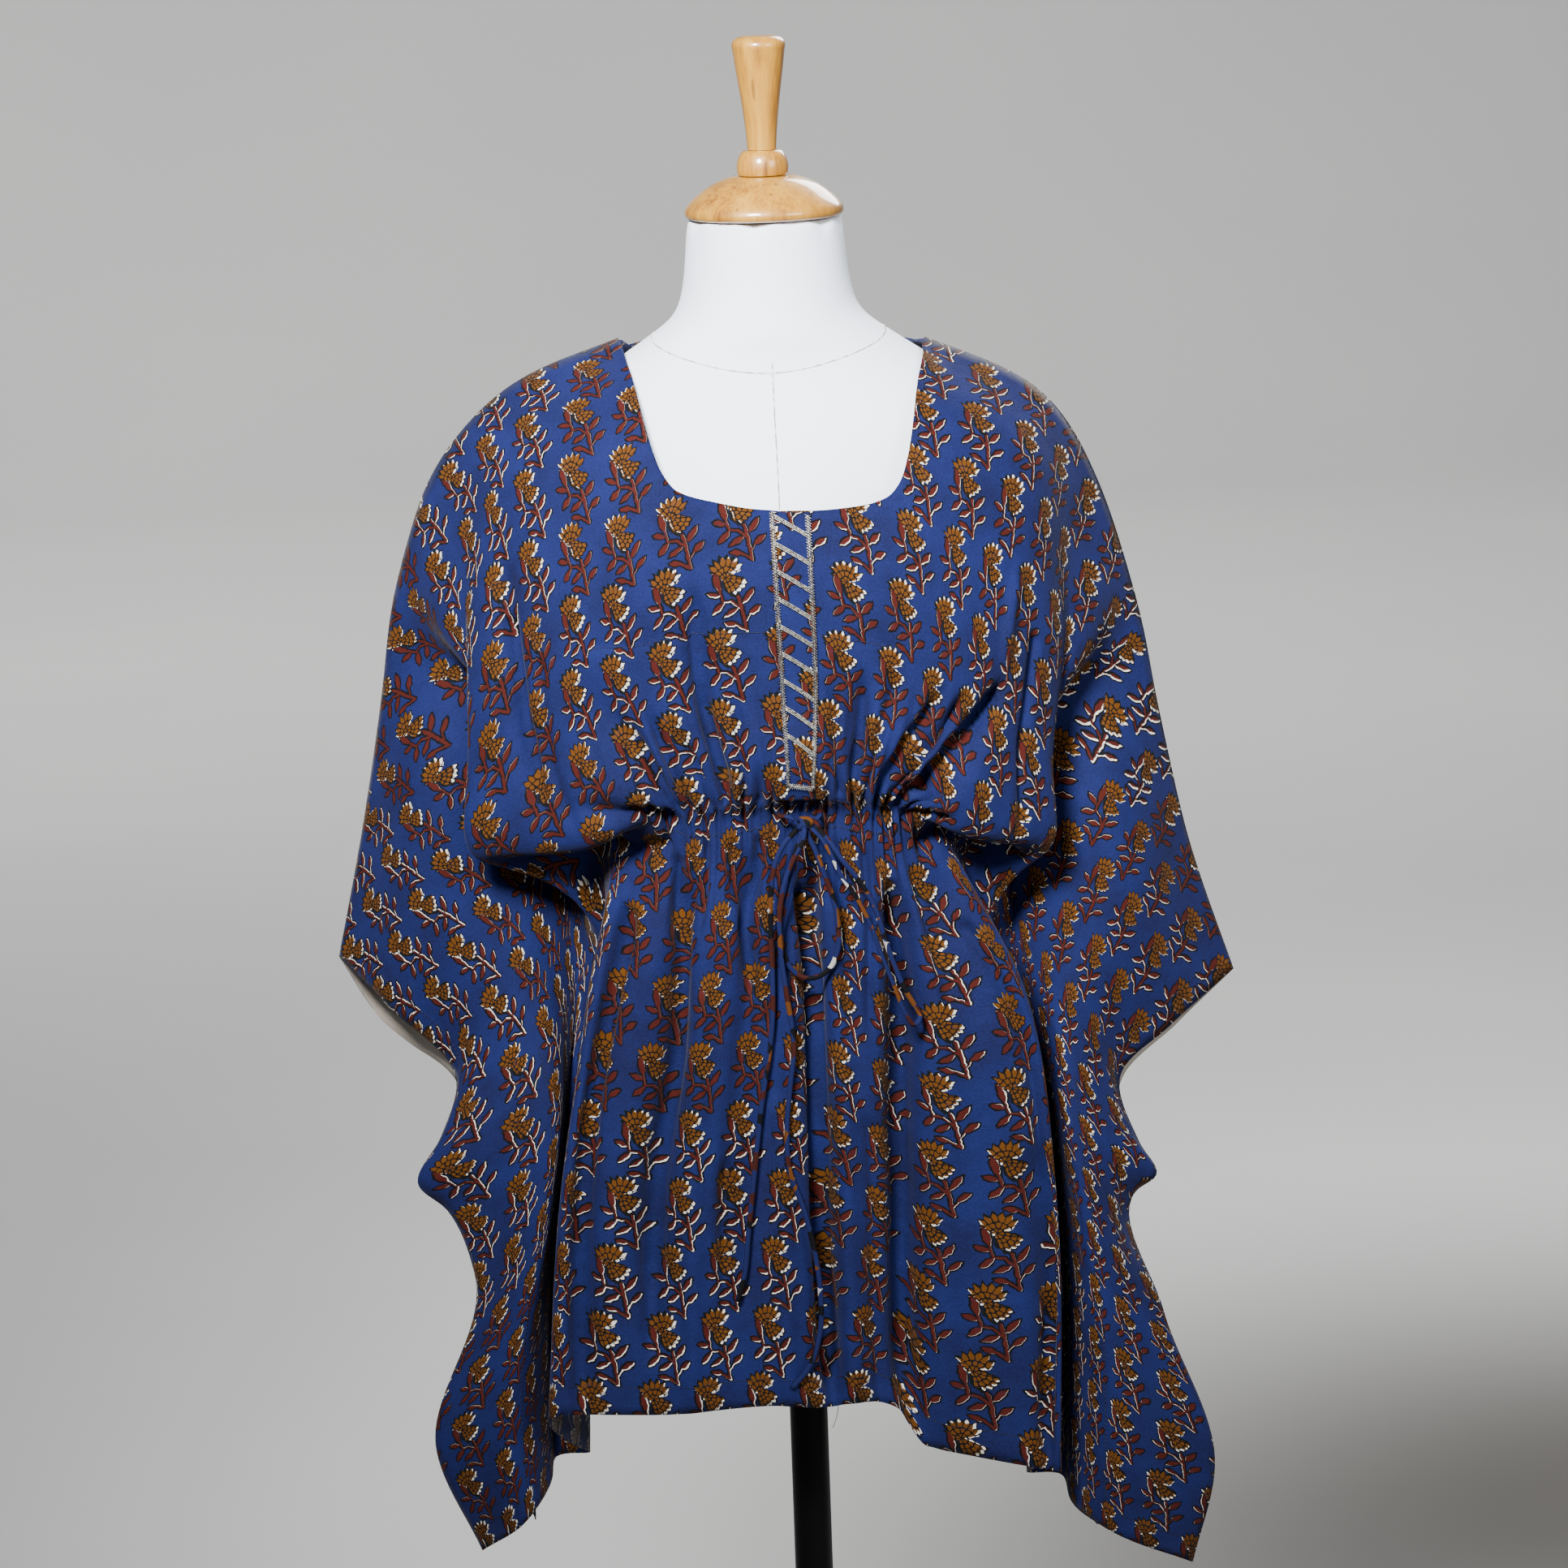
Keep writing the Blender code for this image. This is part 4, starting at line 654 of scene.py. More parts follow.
def read_grid(grid, u, v):
    """Smoothly interpolated values of a flat-cloth grid at (u, v)."""
    column = (np.asarray(u, float) - FLAT_U[0]) / FLAT_STEP
    row = (np.asarray(v, float) - FLAT_V[0]) / FLAT_STEP
    i = np.clip(column.astype(int), 0, len(FLAT_U) - 2)
    j = np.clip(row.astype(int), 0, len(FLAT_V) - 2)
    total = 0.0
    for dj, wj in enumerate(cubic_weights(row - j), -1):
        line = 0.0
        jj = np.clip(j + dj, 0, len(FLAT_V) - 1)
        for di, wi in enumerate(cubic_weights(column - i), -1):
            line = line + grid[jj, np.clip(i + di, 0, len(FLAT_U) - 1)] * wi[..., None]
        total = total + line * wj[..., None]
    return total


def cubic_weights(t):
    """Weights of the four grid lines round a place, for a smooth curve through them."""
    return (
        (-t + 2 * t**2 - t**3) / 2,
        (2 - 5 * t**2 + 3 * t**3) / 2,
        (t + 4 * t**2 - 3 * t**3) / 2,
        (-(t**2) + t**3) / 2,
    )


class HungCloth:
    """A panel as it hangs: a grid for its main folds, and a depth at any (u, v) for its fine ones."""

    def __init__(self, grid, facing, fine, clearance):
        self.grid = grid
        self.normals = normals_of(grid, facing)
        self.fine = fine
        self.clearance = clearance

    def at(self, u, v, lift=0.0):
        """Points on the outer face, or lifted off it, where the flat cloth's (u, v) hangs."""
        u, v = np.asarray(u, float), np.asarray(v, float)
        normal = read_grid(self.normals, u, v)
        normal /= np.linalg.norm(normal, axis=-1)[..., None]
        place = read_grid(self.grid, u, v) - normal * self.fine(u, v)[..., None]
        return clear_of_form(place, self.clearance + WALL) + normal * np.asarray(lift, float)[..., None]


def spaced(*stops):
    """Values from (end, step) stops, evenly spaced between them."""
    values = [stops[0][0]]
    for (a, _), (b, step) in zip(stops, stops[1:]):
        count = max(1, round((b - a) / step))
        values += [a + (b - a) * k / count for k in range(1, count + 1)]
    return np.array(values)


NECK_STRAIGHT = 40.0
NECK_SPREAD = 0.5
NECK_BUNCH = 0.35


def neck_columns(columns, neck):
    """Columns moved along the neckline so that they stand more evenly on its curve."""
    along = np.linspace(NECK_STRAIGHT, NECK_HALF_WIDTH, 400)
    moved = columns.copy()
    for side in (-1, 1):
        run = chord_knots(np.stack([along, cloth_start(side * along, neck)], axis=1))
        even = np.interp(np.linspace(0.0, run[-1], 400), run, along)
        on_curve = (side * columns > NECK_STRAIGHT) & (side * columns < NECK_HALF_WIDTH)
        evened = side * np.interp(side * columns[on_curve], along, even)
        moved[on_curve] += (evened - moved[on_curve]) * NECK_BUNCH
    return moved


def build_panel(name, cloth, columns, rows, neck, facing, mats):
    """A panel's thin shell with the flat cloth's own UV map, in metres. Its rows run from its cut edge (0)
    through the casing line (1) to the hem (2)."""
    at_neck = neck_columns(columns, neck)
    start, casing = cloth_start(at_neck, neck), casing_at(columns)
    u = np.array([at_neck + (columns - at_neck) * ease(r, 0, NECK_SPREAD) for r in rows])
    v = np.array([start + (casing - start) * min(r, 1) + (CUT_LENGTH - casing) * max(r - 1, 0) for r in rows])
    verts = cloth.at(u, v).reshape(-1, 3)
    count = len(columns)
    faces = []
    for j in range(len(rows) - 1):
        for i in range(count - 1):
            a = j * count + i
            face = (a, a + count, a + count + 1, a + 1)
            faces.append(face if facing > 0 else tuple(reversed(face)))
    piece = piece_from(name, verts, faces, mats[0])
    piece.data.materials.append(mats[1])
    flat = np.stack([u.ravel(), v.ravel()], axis=1) * MM
    layer = piece.data.uv_layers.new(name="flat cloth")
    corners = np.empty(len(piece.data.loops), int)
    piece.data.loops.foreach_get("vertex_index", corners)
    layer.data.foreach_set("uv", flat[corners].ravel())
    thicken(piece)
    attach(piece, "root")
    return piece


def select_only(obj):
    """Makes one object the selected and active one, for Blender's operators."""
    bpy.ops.object.select_all(action="DESELECT")
    bpy.context.view_layer.objects.active = obj
    obj.select_set(True)


def thicken(piece):
    """Gives a sheet its thickness inward; the inner side takes the second material, the cloth's reverse."""
    wall = piece.modifiers.new("thickness", "SOLIDIFY")
    wall.thickness = CLOTH_THICKNESS * MM
    wall.offset = -1.0
    wall.material_offset = 1
    select_only(piece)
    bpy.ops.object.modifier_apply(modifier=wall.name)
    piece.select_set(False)


# The block print. Its repeat is one sprig, charted here in millimetres from its middle with Y up: a head of
# pointed petals and small round cells, a calyx, a stem and leaves. One block prints the blue ground and leaves
# the sprigs bare, and others add rust, ochre and the black lines. The blocks miss each other a little. Bare
# cloth then shows white on one side of a shape, and on the other the ink lies over the blue and turns dark.
SPRIG_PITCH = 36.5
ROW_PITCH = 45.0
ROW_SHIFT = 6.0
SPRIG_LEAN = 0.34
Leaf = namedtuple("Leaf", "x0 y0 x1 y1 width")
LEAVES = (
    Leaf(-16.4, 1.6, -8.0, -1.5, 3.8), Leaf(-13.6, -12.8, -6.0, -5.3, 4.0), Leaf(-7.2, -15.2, 2.2, -9.9, 3.8),
    Leaf(4.4, -8.0, 11.8, 1.8, 4.2), Leaf(7.6, -15.6, 15.2, -9.3, 4.0), Leaf(-7.4, -18.9, 1.2, -20.9, 3.7),
    Leaf(-11.4, 14.8, -8.0, 0.6, 4.4),
)
Stem = namedtuple("Stem", "x0 y0 x1 y1 width")
STEMS = (
    Stem(-8.6, 2.8, -6.8, -4.8, 1.9), Stem(-6.8, -5, -1.6, -5.5, 1.8), Stem(-1.6, -5.5, 3.6, -10.6, 2.0),
    Stem(2.2, -2.6, 4, -10.2, 2.4), Stem(4, -10.2, 4.8, -16.9, 2.5), Stem(4.8, -16.9, 6.1, -25.0, 2.2),
    Stem(5.4, -20, 8.4, -15.2, 1.3), Stem(0, -20.5, 5.7, -24.8, 2.0),
)
SHADES = (Stem(-5.5, 7.2, -5.1, 2.8, 2.0), Stem(-5.1, 2.8, -0.6, -1.9, 2.2))
# The head's reach from its foot, all the way round: an upper fan of petals, a notch, and a lower lobe
HEAD_FOOT = (-4.4, 10.2)
Reach = namedtuple("Reach", "degrees reach")
HEAD_REACH = (
    Reach(-180, 4.4), Reach(-120, 3.0), Reach(-98, 4.4), Reach(-90, 7.4), Reach(-80, 10.8), Reach(-66, 12.8),
    Reach(-22, 13.4), Reach(-12, 12.8), Reach(-5, 6.2), Reach(16, 5.8), Reach(24, 12.2), Reach(60, 14.0),
    Reach(105, 13.2), Reach(140, 12.0), Reach(154, 9.8), Reach(168, 6.6), Reach(180, 4.4),
)
REACH_SCALE = 16.0
FIRST_PETAL = math.radians(27)
CELLS_PER_RADIAN = (1.1, 0.88)
RING_EDGES = (3.3, 7.0, 9.8)
PETAL_POINT = 3.2
CELL_LINE = 0.3
SELVEDGE_FROM = 533.0
OUTLINE = 0.5
BLOCK_SIZE = (150.0, 190.0, 1.0)
RUST_MISS = (1.9, 1.6, 0.0)
OCHRE_MISS = (3.2, 2.6, 0.0)
MISS_MIDDLE = (0.3, 0.7, 0.5)
EDGE_WAVER = (1.5, 1.5, 0.0)


def least_of(add, distances):
    """The least of several distances."""
    total = distances[0]
    for distance in distances[1:]:
        total = add("Math", (total, distance), operation="MINIMUM")
    return total


def strokes_at(add, point, strokes):
    """Distance from a place to the nearest of some straight round-ended strokes; below 0 inside one."""
    out = []
    for stroke in strokes:
        half = math.hypot(stroke.x1 - stroke.x0, stroke.y1 - stroke.y0) / 2
        turn = math.atan2(stroke.y1 - stroke.y0, stroke.x1 - stroke.x0)
        middle = ((stroke.x0 + stroke.x1) / 2, (stroke.y0 + stroke.y1) / 2, 0)
        local = add("Mapping", {0: point, 1: middle, 2: (0, 0, turn)}, vector_type="TEXTURE")
        folded = add("VectorMath", {0: local}, operation="ABSOLUTE")
        past = add("VectorMath", {0: folded, 1: (half, 0, 0)}, operation="SUBTRACT")
        off = add("VectorMath", {0: past, 1: (0, 0, 0)}, operation="MAXIMUM")
        reach = add("VectorMath", {0: off}, operation="LENGTH")
        out.append(add("Math", (reach, stroke.width / 2), operation="SUBTRACT"))
    return least_of(add, out)


def leaves_at(add, point):
    """Distance from a place to the nearest pointed leaf; below 0 inside one."""
    out = []
    for leaf in LEAVES:
        half = math.hypot(leaf.x1 - leaf.x0, leaf.y1 - leaf.y0) / 2
        turn = math.atan2(leaf.y1 - leaf.y0, leaf.x1 - leaf.x0)
        radius = (half**2 + (leaf.width / 2) ** 2) / leaf.width
        middle = ((leaf.x0 + leaf.x1) / 2, (leaf.y0 + leaf.y1) / 2, 0)
        local = add("Mapping", {0: point, 1: middle, 2: (0, 0, turn)}, vector_type="TEXTURE")
        folded = add("VectorMath", {0: local}, operation="ABSOLUTE")
        moved = add("VectorMath", {0: folded, 1: (0, radius - leaf.width / 2, 0)}, operation="ADD")
        reach = add("VectorMath", {0: moved}, operation="LENGTH")
        out.append(add("Math", (reach, radius), operation="SUBTRACT"))
    return least_of(add, out)


def head_at(add, point):
    """The seed head at a place: distance past its toothed edge (below 0 inside), and distance to the nearest
    line between its cells, which stand in rings round the head's foot."""
    spoke = add("VectorMath", {0: point, 1: (*HEAD_FOOT, 0)}, operation="SUBTRACT")
    out = add("VectorMath", {0: spoke}, operation="LENGTH").outputs["Value"]
    parts = add("SeparateXYZ", {0: spoke})
    angle = add("Math", (parts.outputs[1], parts.outputs[0]), operation="ARCTAN2")
    reach = add("ValToRGB", {"Fac": add("MapRange", {0: angle, 1: -math.pi, 2: math.pi})})
    ramp = reach.color_ramp
    for row in HEAD_REACH[1:-1]:
        ramp.elements.new((row.degrees + 180) / 360)
    for element, row in zip(ramp.elements, HEAD_REACH):
        element.color = (*[row.reach / REACH_SCALE] * 3, 1)
    in_lobe = add("Math", (angle, 0.1), operation="LESS_THAN")
    edges = (
        RING_EDGES[0],
        add("Math", (in_lobe, -0.5, RING_EDGES[1]), operation="MULTIPLY_ADD"),
        add("MapRange", {0: in_lobe, 3: 4 * REACH_SCALE, 4: RING_EDGES[2]}),
    )
    ring = add("Math", (out, edges[0]), operation="GREATER_THAN")
    across = add("Math", (add("Math", (out, edges[0]), operation="SUBTRACT"),), operation="ABSOLUTE")
    for edge in edges[1:]:
        ring = add("Math", (ring, add("Math", (out, edge), operation="GREATER_THAN")), operation="ADD")
        off = add("Math", (add("Math", (out, edge), operation="SUBTRACT"),), operation="ABSOLUTE")
        across = add("Math", (across, off), operation="MINIMUM")
    cells = add("Math", (ring, CELLS_PER_RADIAN[1], CELLS_PER_RADIAN[0]), operation="MULTIPLY_ADD")
    turned_by = add("Math", (angle, FIRST_PETAL), operation="SUBTRACT")
    half_step = add("Math", (ring, 0.5), operation="MULTIPLY")
    phase = add("Math", (turned_by, cells, half_step), operation="MULTIPLY_ADD")
    from_line = add("Math", (phase, 0.5), operation="PINGPONG")
    beside = add("Math", (add("Math", (from_line, out), operation="MULTIPLY"), cells), operation="DIVIDE")
    line = add("Math", (beside, across, 1.3), operation="SMOOTH_MIN")
    point_drop = add("Math", (in_lobe, -0.6 * PETAL_POINT, PETAL_POINT), operation="MULTIPLY_ADD")
    tooth = add("Math", (from_line, -2.0, 1.0), operation="MULTIPLY_ADD")
    cut_back = add("Math", (tooth, point_drop), operation="MULTIPLY")
    toothed = add("Math", (out, cut_back), operation="ADD")
    past = add("Math", (reach, -REACH_SCALE, toothed), operation="MULTIPLY_ADD")
    return past, line


def printed_cotton(name, strength=1.0, lightness=1.0):
    """Cotton cambric, plain woven and printed by hand from wooden blocks: a mottled dark blue ground, ochre
    heads with black cell lines, rust leaves, black outlines and white slivers. Matt, with a faint nap. The
    reverse is the same print, paler where the colour hasn't gone through."""
    mat, add, shader = new_material(name)
    links = mat.node_tree.links
    flat = add("UVMap", uv_map="flat cloth")
    raw = add("VectorMath", {0: flat, 1: (1000, -1000, 1000)}, operation="MULTIPLY")

    # The hand-cut block's edges waver by some tenths of a millimetre
    waver = add("TexNoise", {"Vector": raw, "Scale": 0.3, "Detail": 1.0}, noise_dimensions="2D")
    push = add("VectorMath", {0: waver.outputs["Color"], 1: (0.5, 0.5, 0.5)}, operation="SUBTRACT")
    push = add("VectorMath", {0: push, 1: EDGE_WAVER}, operation="MULTIPLY")
    place = add("VectorMath", {0: raw, 1: push}, operation="ADD")

    # Sprigs stand in rows, and each row up is shifted a little. A sprig leans, so its cell of cloth leans as
    # well: of the nearest sprigs in the rows above and below, a place belongs to the nearer one that way
    parts = add("SeparateXYZ", {0: place})
    rows_up = add("Math", (parts.outputs[1], ROW_PITCH), operation="DIVIDE")
    row_below = add("Math", (rows_up,), operation="FLOOR")
    choices = []
    for step in (0, 1):
        row = add("Math", (row_below, step), operation="ADD")
        up = add("Math", (row, -ROW_PITCH, parts.outputs[1]), operation="MULTIPLY_ADD")
        lean = add("Math", (up, SPRIG_LEAN), operation="MULTIPLY")
        along = add("Math", (row, -ROW_SHIFT, add("Math", (parts.outputs[0], lean), operation="ADD")),
                    operation="MULTIPLY_ADD")
        along = add("Math", (along, -SPRIG_PITCH / 2, SPRIG_PITCH / 2), operation="WRAP")
        far = add("Math", (up, up), operation="MULTIPLY")
        far = add("Math", (far, 1 - SPRIG_LEAN**2), operation="MULTIPLY")
        far = add("Math", (along, along, far), operation="MULTIPLY_ADD")
        choices.append((far, add("CombineXYZ", (add("Math", (along, lean), operation="SUBTRACT"), up))))
    above_nearer = add("Math", (choices[1][0], choices[0][0]), operation="LESS_THAN")
    local = add("Mix", {0: above_nearer, 4: choices[0][1], 5: choices[1][1]}, data_type="VECTOR")
    centre = add("VectorMath", {0: place, 1: local}, operation="SUBTRACT")

    # A block covers several sprigs and is set down by hand, so the rust and the ochre miss by up to about 2 mm
    block = add("VectorMath", {0: centre, 1: BLOCK_SIZE}, operation="DIVIDE")
    block = add("VectorMath", {0: block}, operation="FLOOR")
    misses = []
    for seed, most in ((0.0, RUST_MISS), (5.0, OCHRE_MISS)):
        seeded = add("VectorMath", {0: block, 1: (seed, seed, 0)}, operation="ADD")
        chance = add("TexWhiteNoise", {"Vector": seeded}, noise_dimensions="2D")
        miss = add("VectorMath", {0: chance.outputs["Color"], 1: MISS_MIDDLE}, operation="SUBTRACT")
        misses.append(add("VectorMath", {0: miss, 1: most}, operation="MULTIPLY"))
    rust_place, ochre_place = (add("VectorMath", {0: local, 1: miss}, operation="ADD") for miss in misses)

    stalks = least_of(add, [leaves_at(add, local), strokes_at(add, local, STEMS)])
    head, cell_line = head_at(add, local)
    bare = add("Math", (least_of(add, [stalks, head]), 0.2), operation="SUBTRACT")
    rust = least_of(add, [leaves_at(add, rust_place), strokes_at(add, rust_place, STEMS)])
    ochre = least_of(add, [head_at(add, ochre_place)[0], strokes_at(add, local, SHADES)])

    def inside(distance, soft=0.1, line=None):
        """How far a place is inside a shape, or on a line round its edge: 1 in, 0 out, soft between."""
        if line is not None:
            distance = add("Math", (distance,), operation="ABSOLUTE")
            distance = add("Math", (distance, line), operation="SUBTRACT")
        return add("MapRange", {0: distance, 1: soft, 2: -soft}, interpolation_type="SMOOTHSTEP")

    def cloth_noise(scale, detail, rough=0.5):
        """Noise on the flat cloth, with its scale in waves for each millimetre."""
        settings = {"Vector": raw, "Scale": scale, "Detail": detail, "Roughness": rough}
        return add("TexNoise", settings, noise_dimensions="2D")

    # Colour, from the cloth up: dyed ground, bare white, ochre, rust and black
    dye = cloth_noise(0.02, 5.0, 0.62)
    fleck = cloth_noise(0.7, 4.0, 0.75)
    mottle = add("Math", (dye, add("Math", (fleck, 0.5), operation="SUBTRACT")), operation="ADD")
    ground = add("Mix", {0: mottle, 6: linear("#080a24"), 7: linear("#171f53")}, data_type="RGBA")
    is_bare = inside(bare)
    ochre_ink = add("Mix", {0: is_bare, 6: linear("#060908"), 7: linear("#4f2d07")}, data_type="RGBA")
    rust_ink = add("Mix", {0: is_bare, 6: linear("#0d070b"), 7: linear("#3b100b")}, data_type="RGBA")
    cell_ink = add("Math", (inside(head), inside(add("Math", (cell_line, CELL_LINE), operation="SUBTRACT"))),
                   operation="MULTIPLY")
    layers = (
        (is_bare, linear("#bdbab1")),
        (inside(ochre), ochre_ink.outputs[2]),
        (inside(rust), rust_ink.outputs[2]),
        (cell_ink, linear("#070505")),
        (inside(bare, line=OUTLINE), linear("#050508")),
    )
    colour = ground
    for mask, ink in layers:
        weight = add("Math", (mask, strength), operation="MULTIPLY")
        colour = add("Mix", {0: weight, 6: colour.outputs[2], 7: ink}, data_type="RGBA")
    wear = cloth_noise(0.12, 6.0, 0.75)
    worn = add("MapRange", {0: wear, 1: 0.6, 2: 0.85, 3: 0.0, 4: 0.3})
    colour = add("Mix", {0: worn, 6: colour.outputs[2], 7: linear("#202b55")}, data_type="RGBA")
    if lightness < 1:
        # The reverse is paler, and its unprinted selvedge shows along both edges of the cloth's width
        colour = add("Mix", {0: 1 - lightness, 6: colour.outputs[2], 7: linear("#6f6d74")}, data_type="RGBA")
        across = add("Math", (add("SeparateXYZ", {0: raw}).outputs[0],), operation="ABSOLUTE")
        selvedge = add("MapRange", {0: across, 1: SELVEDGE_FROM, 2: SELVEDGE_FROM + 1.5})
        colour = add("Mix", {0: selvedge, 6: colour.outputs[2], 7: linear("#a39a90")}, data_type="RGBA")
    links.new(colour.outputs[2], shader.inputs["Base Color"])

    # Real threads are too fine to show, so the weave is drawn about 1.2 mm apart; small creases are broader
    weave = cloth_noise(0.85, 2.0)
    crease = cloth_noise(0.05, 4.0, 0.6)
    height = add("Math", (crease, 6.0, weave), operation="MULTIPLY_ADD")
    bump = add("Bump", {"Strength": 0.5, "Distance": 0.35 * MM, "Height": height})
    links.new(bump.outputs[0], shader.inputs["Normal"])
    shader.inputs["Roughness"].default_value = 0.85
    shader.inputs["Specular IOR Level"].default_value = 0.12
    shader.inputs["Sheen Weight"].default_value = 0.04
    shader.inputs["Sheen Roughness"].default_value = 0.4
    return mat


print_right = printed_cotton("block-printed cotton cambric")
print_reverse = printed_cotton("reverse of block-printed cotton", strength=0.75, lightness=0.85)

flat_u, flat_v = np.meshgrid(FLAT_U, FLAT_V)
front_grid = fall(FRONT_LEFT, FRONT_RIGHT, FRONT_OPENING)
front_grid[..., 2] += hem_step(flat_u, flat_v)
front_grid = front_grid - normals_of(front_grid, 1.0) * fold_depth(FRONT_FOLDS, flat_u, flat_v)[..., None]
front_cloth = HungCloth(front_grid, 1.0, fine_depth, FRONT_CLEARANCE)
FRONT_COLUMNS = spaced((-CUT_HALF_WIDTH, 0), (-270, 6.5), (-150, 3.1), (-CASING_HALF, 3), (CASING_HALF, 2.2),
                       (150, 3), (270, 3.1), (CUT_HALF_WIDTH, 6.5))
FRONT_ROWS = spaced((0.0, 0), (0.45, 0.03), (1.25, 0.0085), (2.0, 0.016))
front = build_panel(
    "front_cloth", front_cloth, FRONT_COLUMNS, FRONT_ROWS, FRONT_NECK, 1.0, (print_right, print_reverse))
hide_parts("front_panel")


# ---------------------------------------------------------------- Stitching on the front
# Rows of dark blue machine stitches through the front: the facing's edge across the chest, the two edges of
# the drawstring casing, the side seams, the sleeve ends and the hem, where two thread ends are left long.

STITCH = 2.6
STITCH_PITCH = 3.7
STITCH_THREAD = 0.45
STITCH_LIFT = 0.3
CASING_ROWS = (-9.0, 9.0)
HEM_ROW_V = 747.0
STITCH_ROWS = (
    ((-129, 240), (-60, 248), (-8, 253)), ((21, 253), (78, 247)),
    ((-540, HEM_ROW_V), (0, HEM_ROW_V), (540, HEM_ROW_V)),
    ((-SEAM_U, 400), (-SEAM_U, 600), (-SEAM_U, 740)), ((SEAM_U, 400), (SEAM_U, 600), (SEAM_U, 740)),
    ((-541, 230), (-541, 300), (-541, 400)), ((541, 230), (541, 300), (541, 400)),
)
ThreadEnd = namedtuple("ThreadEnd", "u lean length")
THREAD_ENDS = (ThreadEnd(-158.0, 0.9, 21.0), ThreadEnd(24.0, -0.5, 17.0))
LOOSE_THREAD = 0.4
LOOSE_THREAD_LIFT = 0.6


def stitch_finish():
    """Dark blue cotton sewing thread, matt."""
    mat, add, shader = new_material("dark blue sewing thread")
    place = add("TexCoord").outputs["Object"]
    ply = add("TexNoise", {"Vector": place, "Scale": 1 / (0.6 * MM), "Detail": 1.0})
    colour = add("Mix", {0: ply, 6: linear("#05070f"), 7: linear("#10142c")}, data_type="RGBA")
    mat.node_tree.links.new(colour.outputs[2], shader.inputs["Base Color"])
    shader.inputs["Roughness"].default_value = 0.8
    return mat


def stitches_along(route):
    """Short thread runs laid end to end along a route on the flat cloth."""
    route = np.asarray(route, float)
    marks = chord_knots(route)
    parts = []
    for begin in np.arange(0, marks[-1] - STITCH, STITCH_PITCH):
        at = np.interp([begin, begin + STITCH / 2, begin + STITCH], marks, np.arange(len(marks)))
        u, v = (np.interp(at, np.arange(len(marks)), route[:, axis]) for axis in (0, 1))
        path = front_cloth.at(u, v, STITCH_LIFT)
        parts.append(rod_along(path, STITCH_THREAD, STITCH_THREAD, 4))
    return parts


def joined_piece(name, parts, mat):
    """One object from several (verts, faces) bodies."""
    verts, faces = [], []
    for part_verts, part_faces in parts:
        faces += [tuple(i + len(verts) for i in face) for face in part_faces]
        verts += list(part_verts)
    return piece_from(name, verts, faces, mat)


def sew_front():
    """All the rows, and the loose thread ends at the hem, as one piece."""
    parts = [part for route in STITCH_ROWS for part in stitches_along(route)]
    across = np.linspace(-CASING_HALF, CASING_HALF, 60)
    for off in CASING_ROWS:
        parts += stitches_along(np.stack([across, casing_at(across) + off], axis=1))
    for end in THREAD_ENDS:
        top = front_cloth.at(np.array([end.u]), np.array([CUT_LENGTH - 2]), LOOSE_THREAD_LIFT)[0]
        down = np.linspace(0, 1, 8)
        sideways = end.lean * end.length * down**2 * 0.5
        path = top + np.stack([sideways, -0.5 * down, -end.length * down], axis=1)
        parts.append(rod_along(path, LOOSE_THREAD, LOOSE_THREAD, 6))
    piece = joined_piece("front_stitching", parts, stitch_finish())
    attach(piece, "root")


sew_front()


# ---------------------------------------------------------------- Back panel
# The back: the same cut with a shallow neck. It hangs clear of the form below the shoulders, and its wings lie
# on the front's wings from the side seams out.

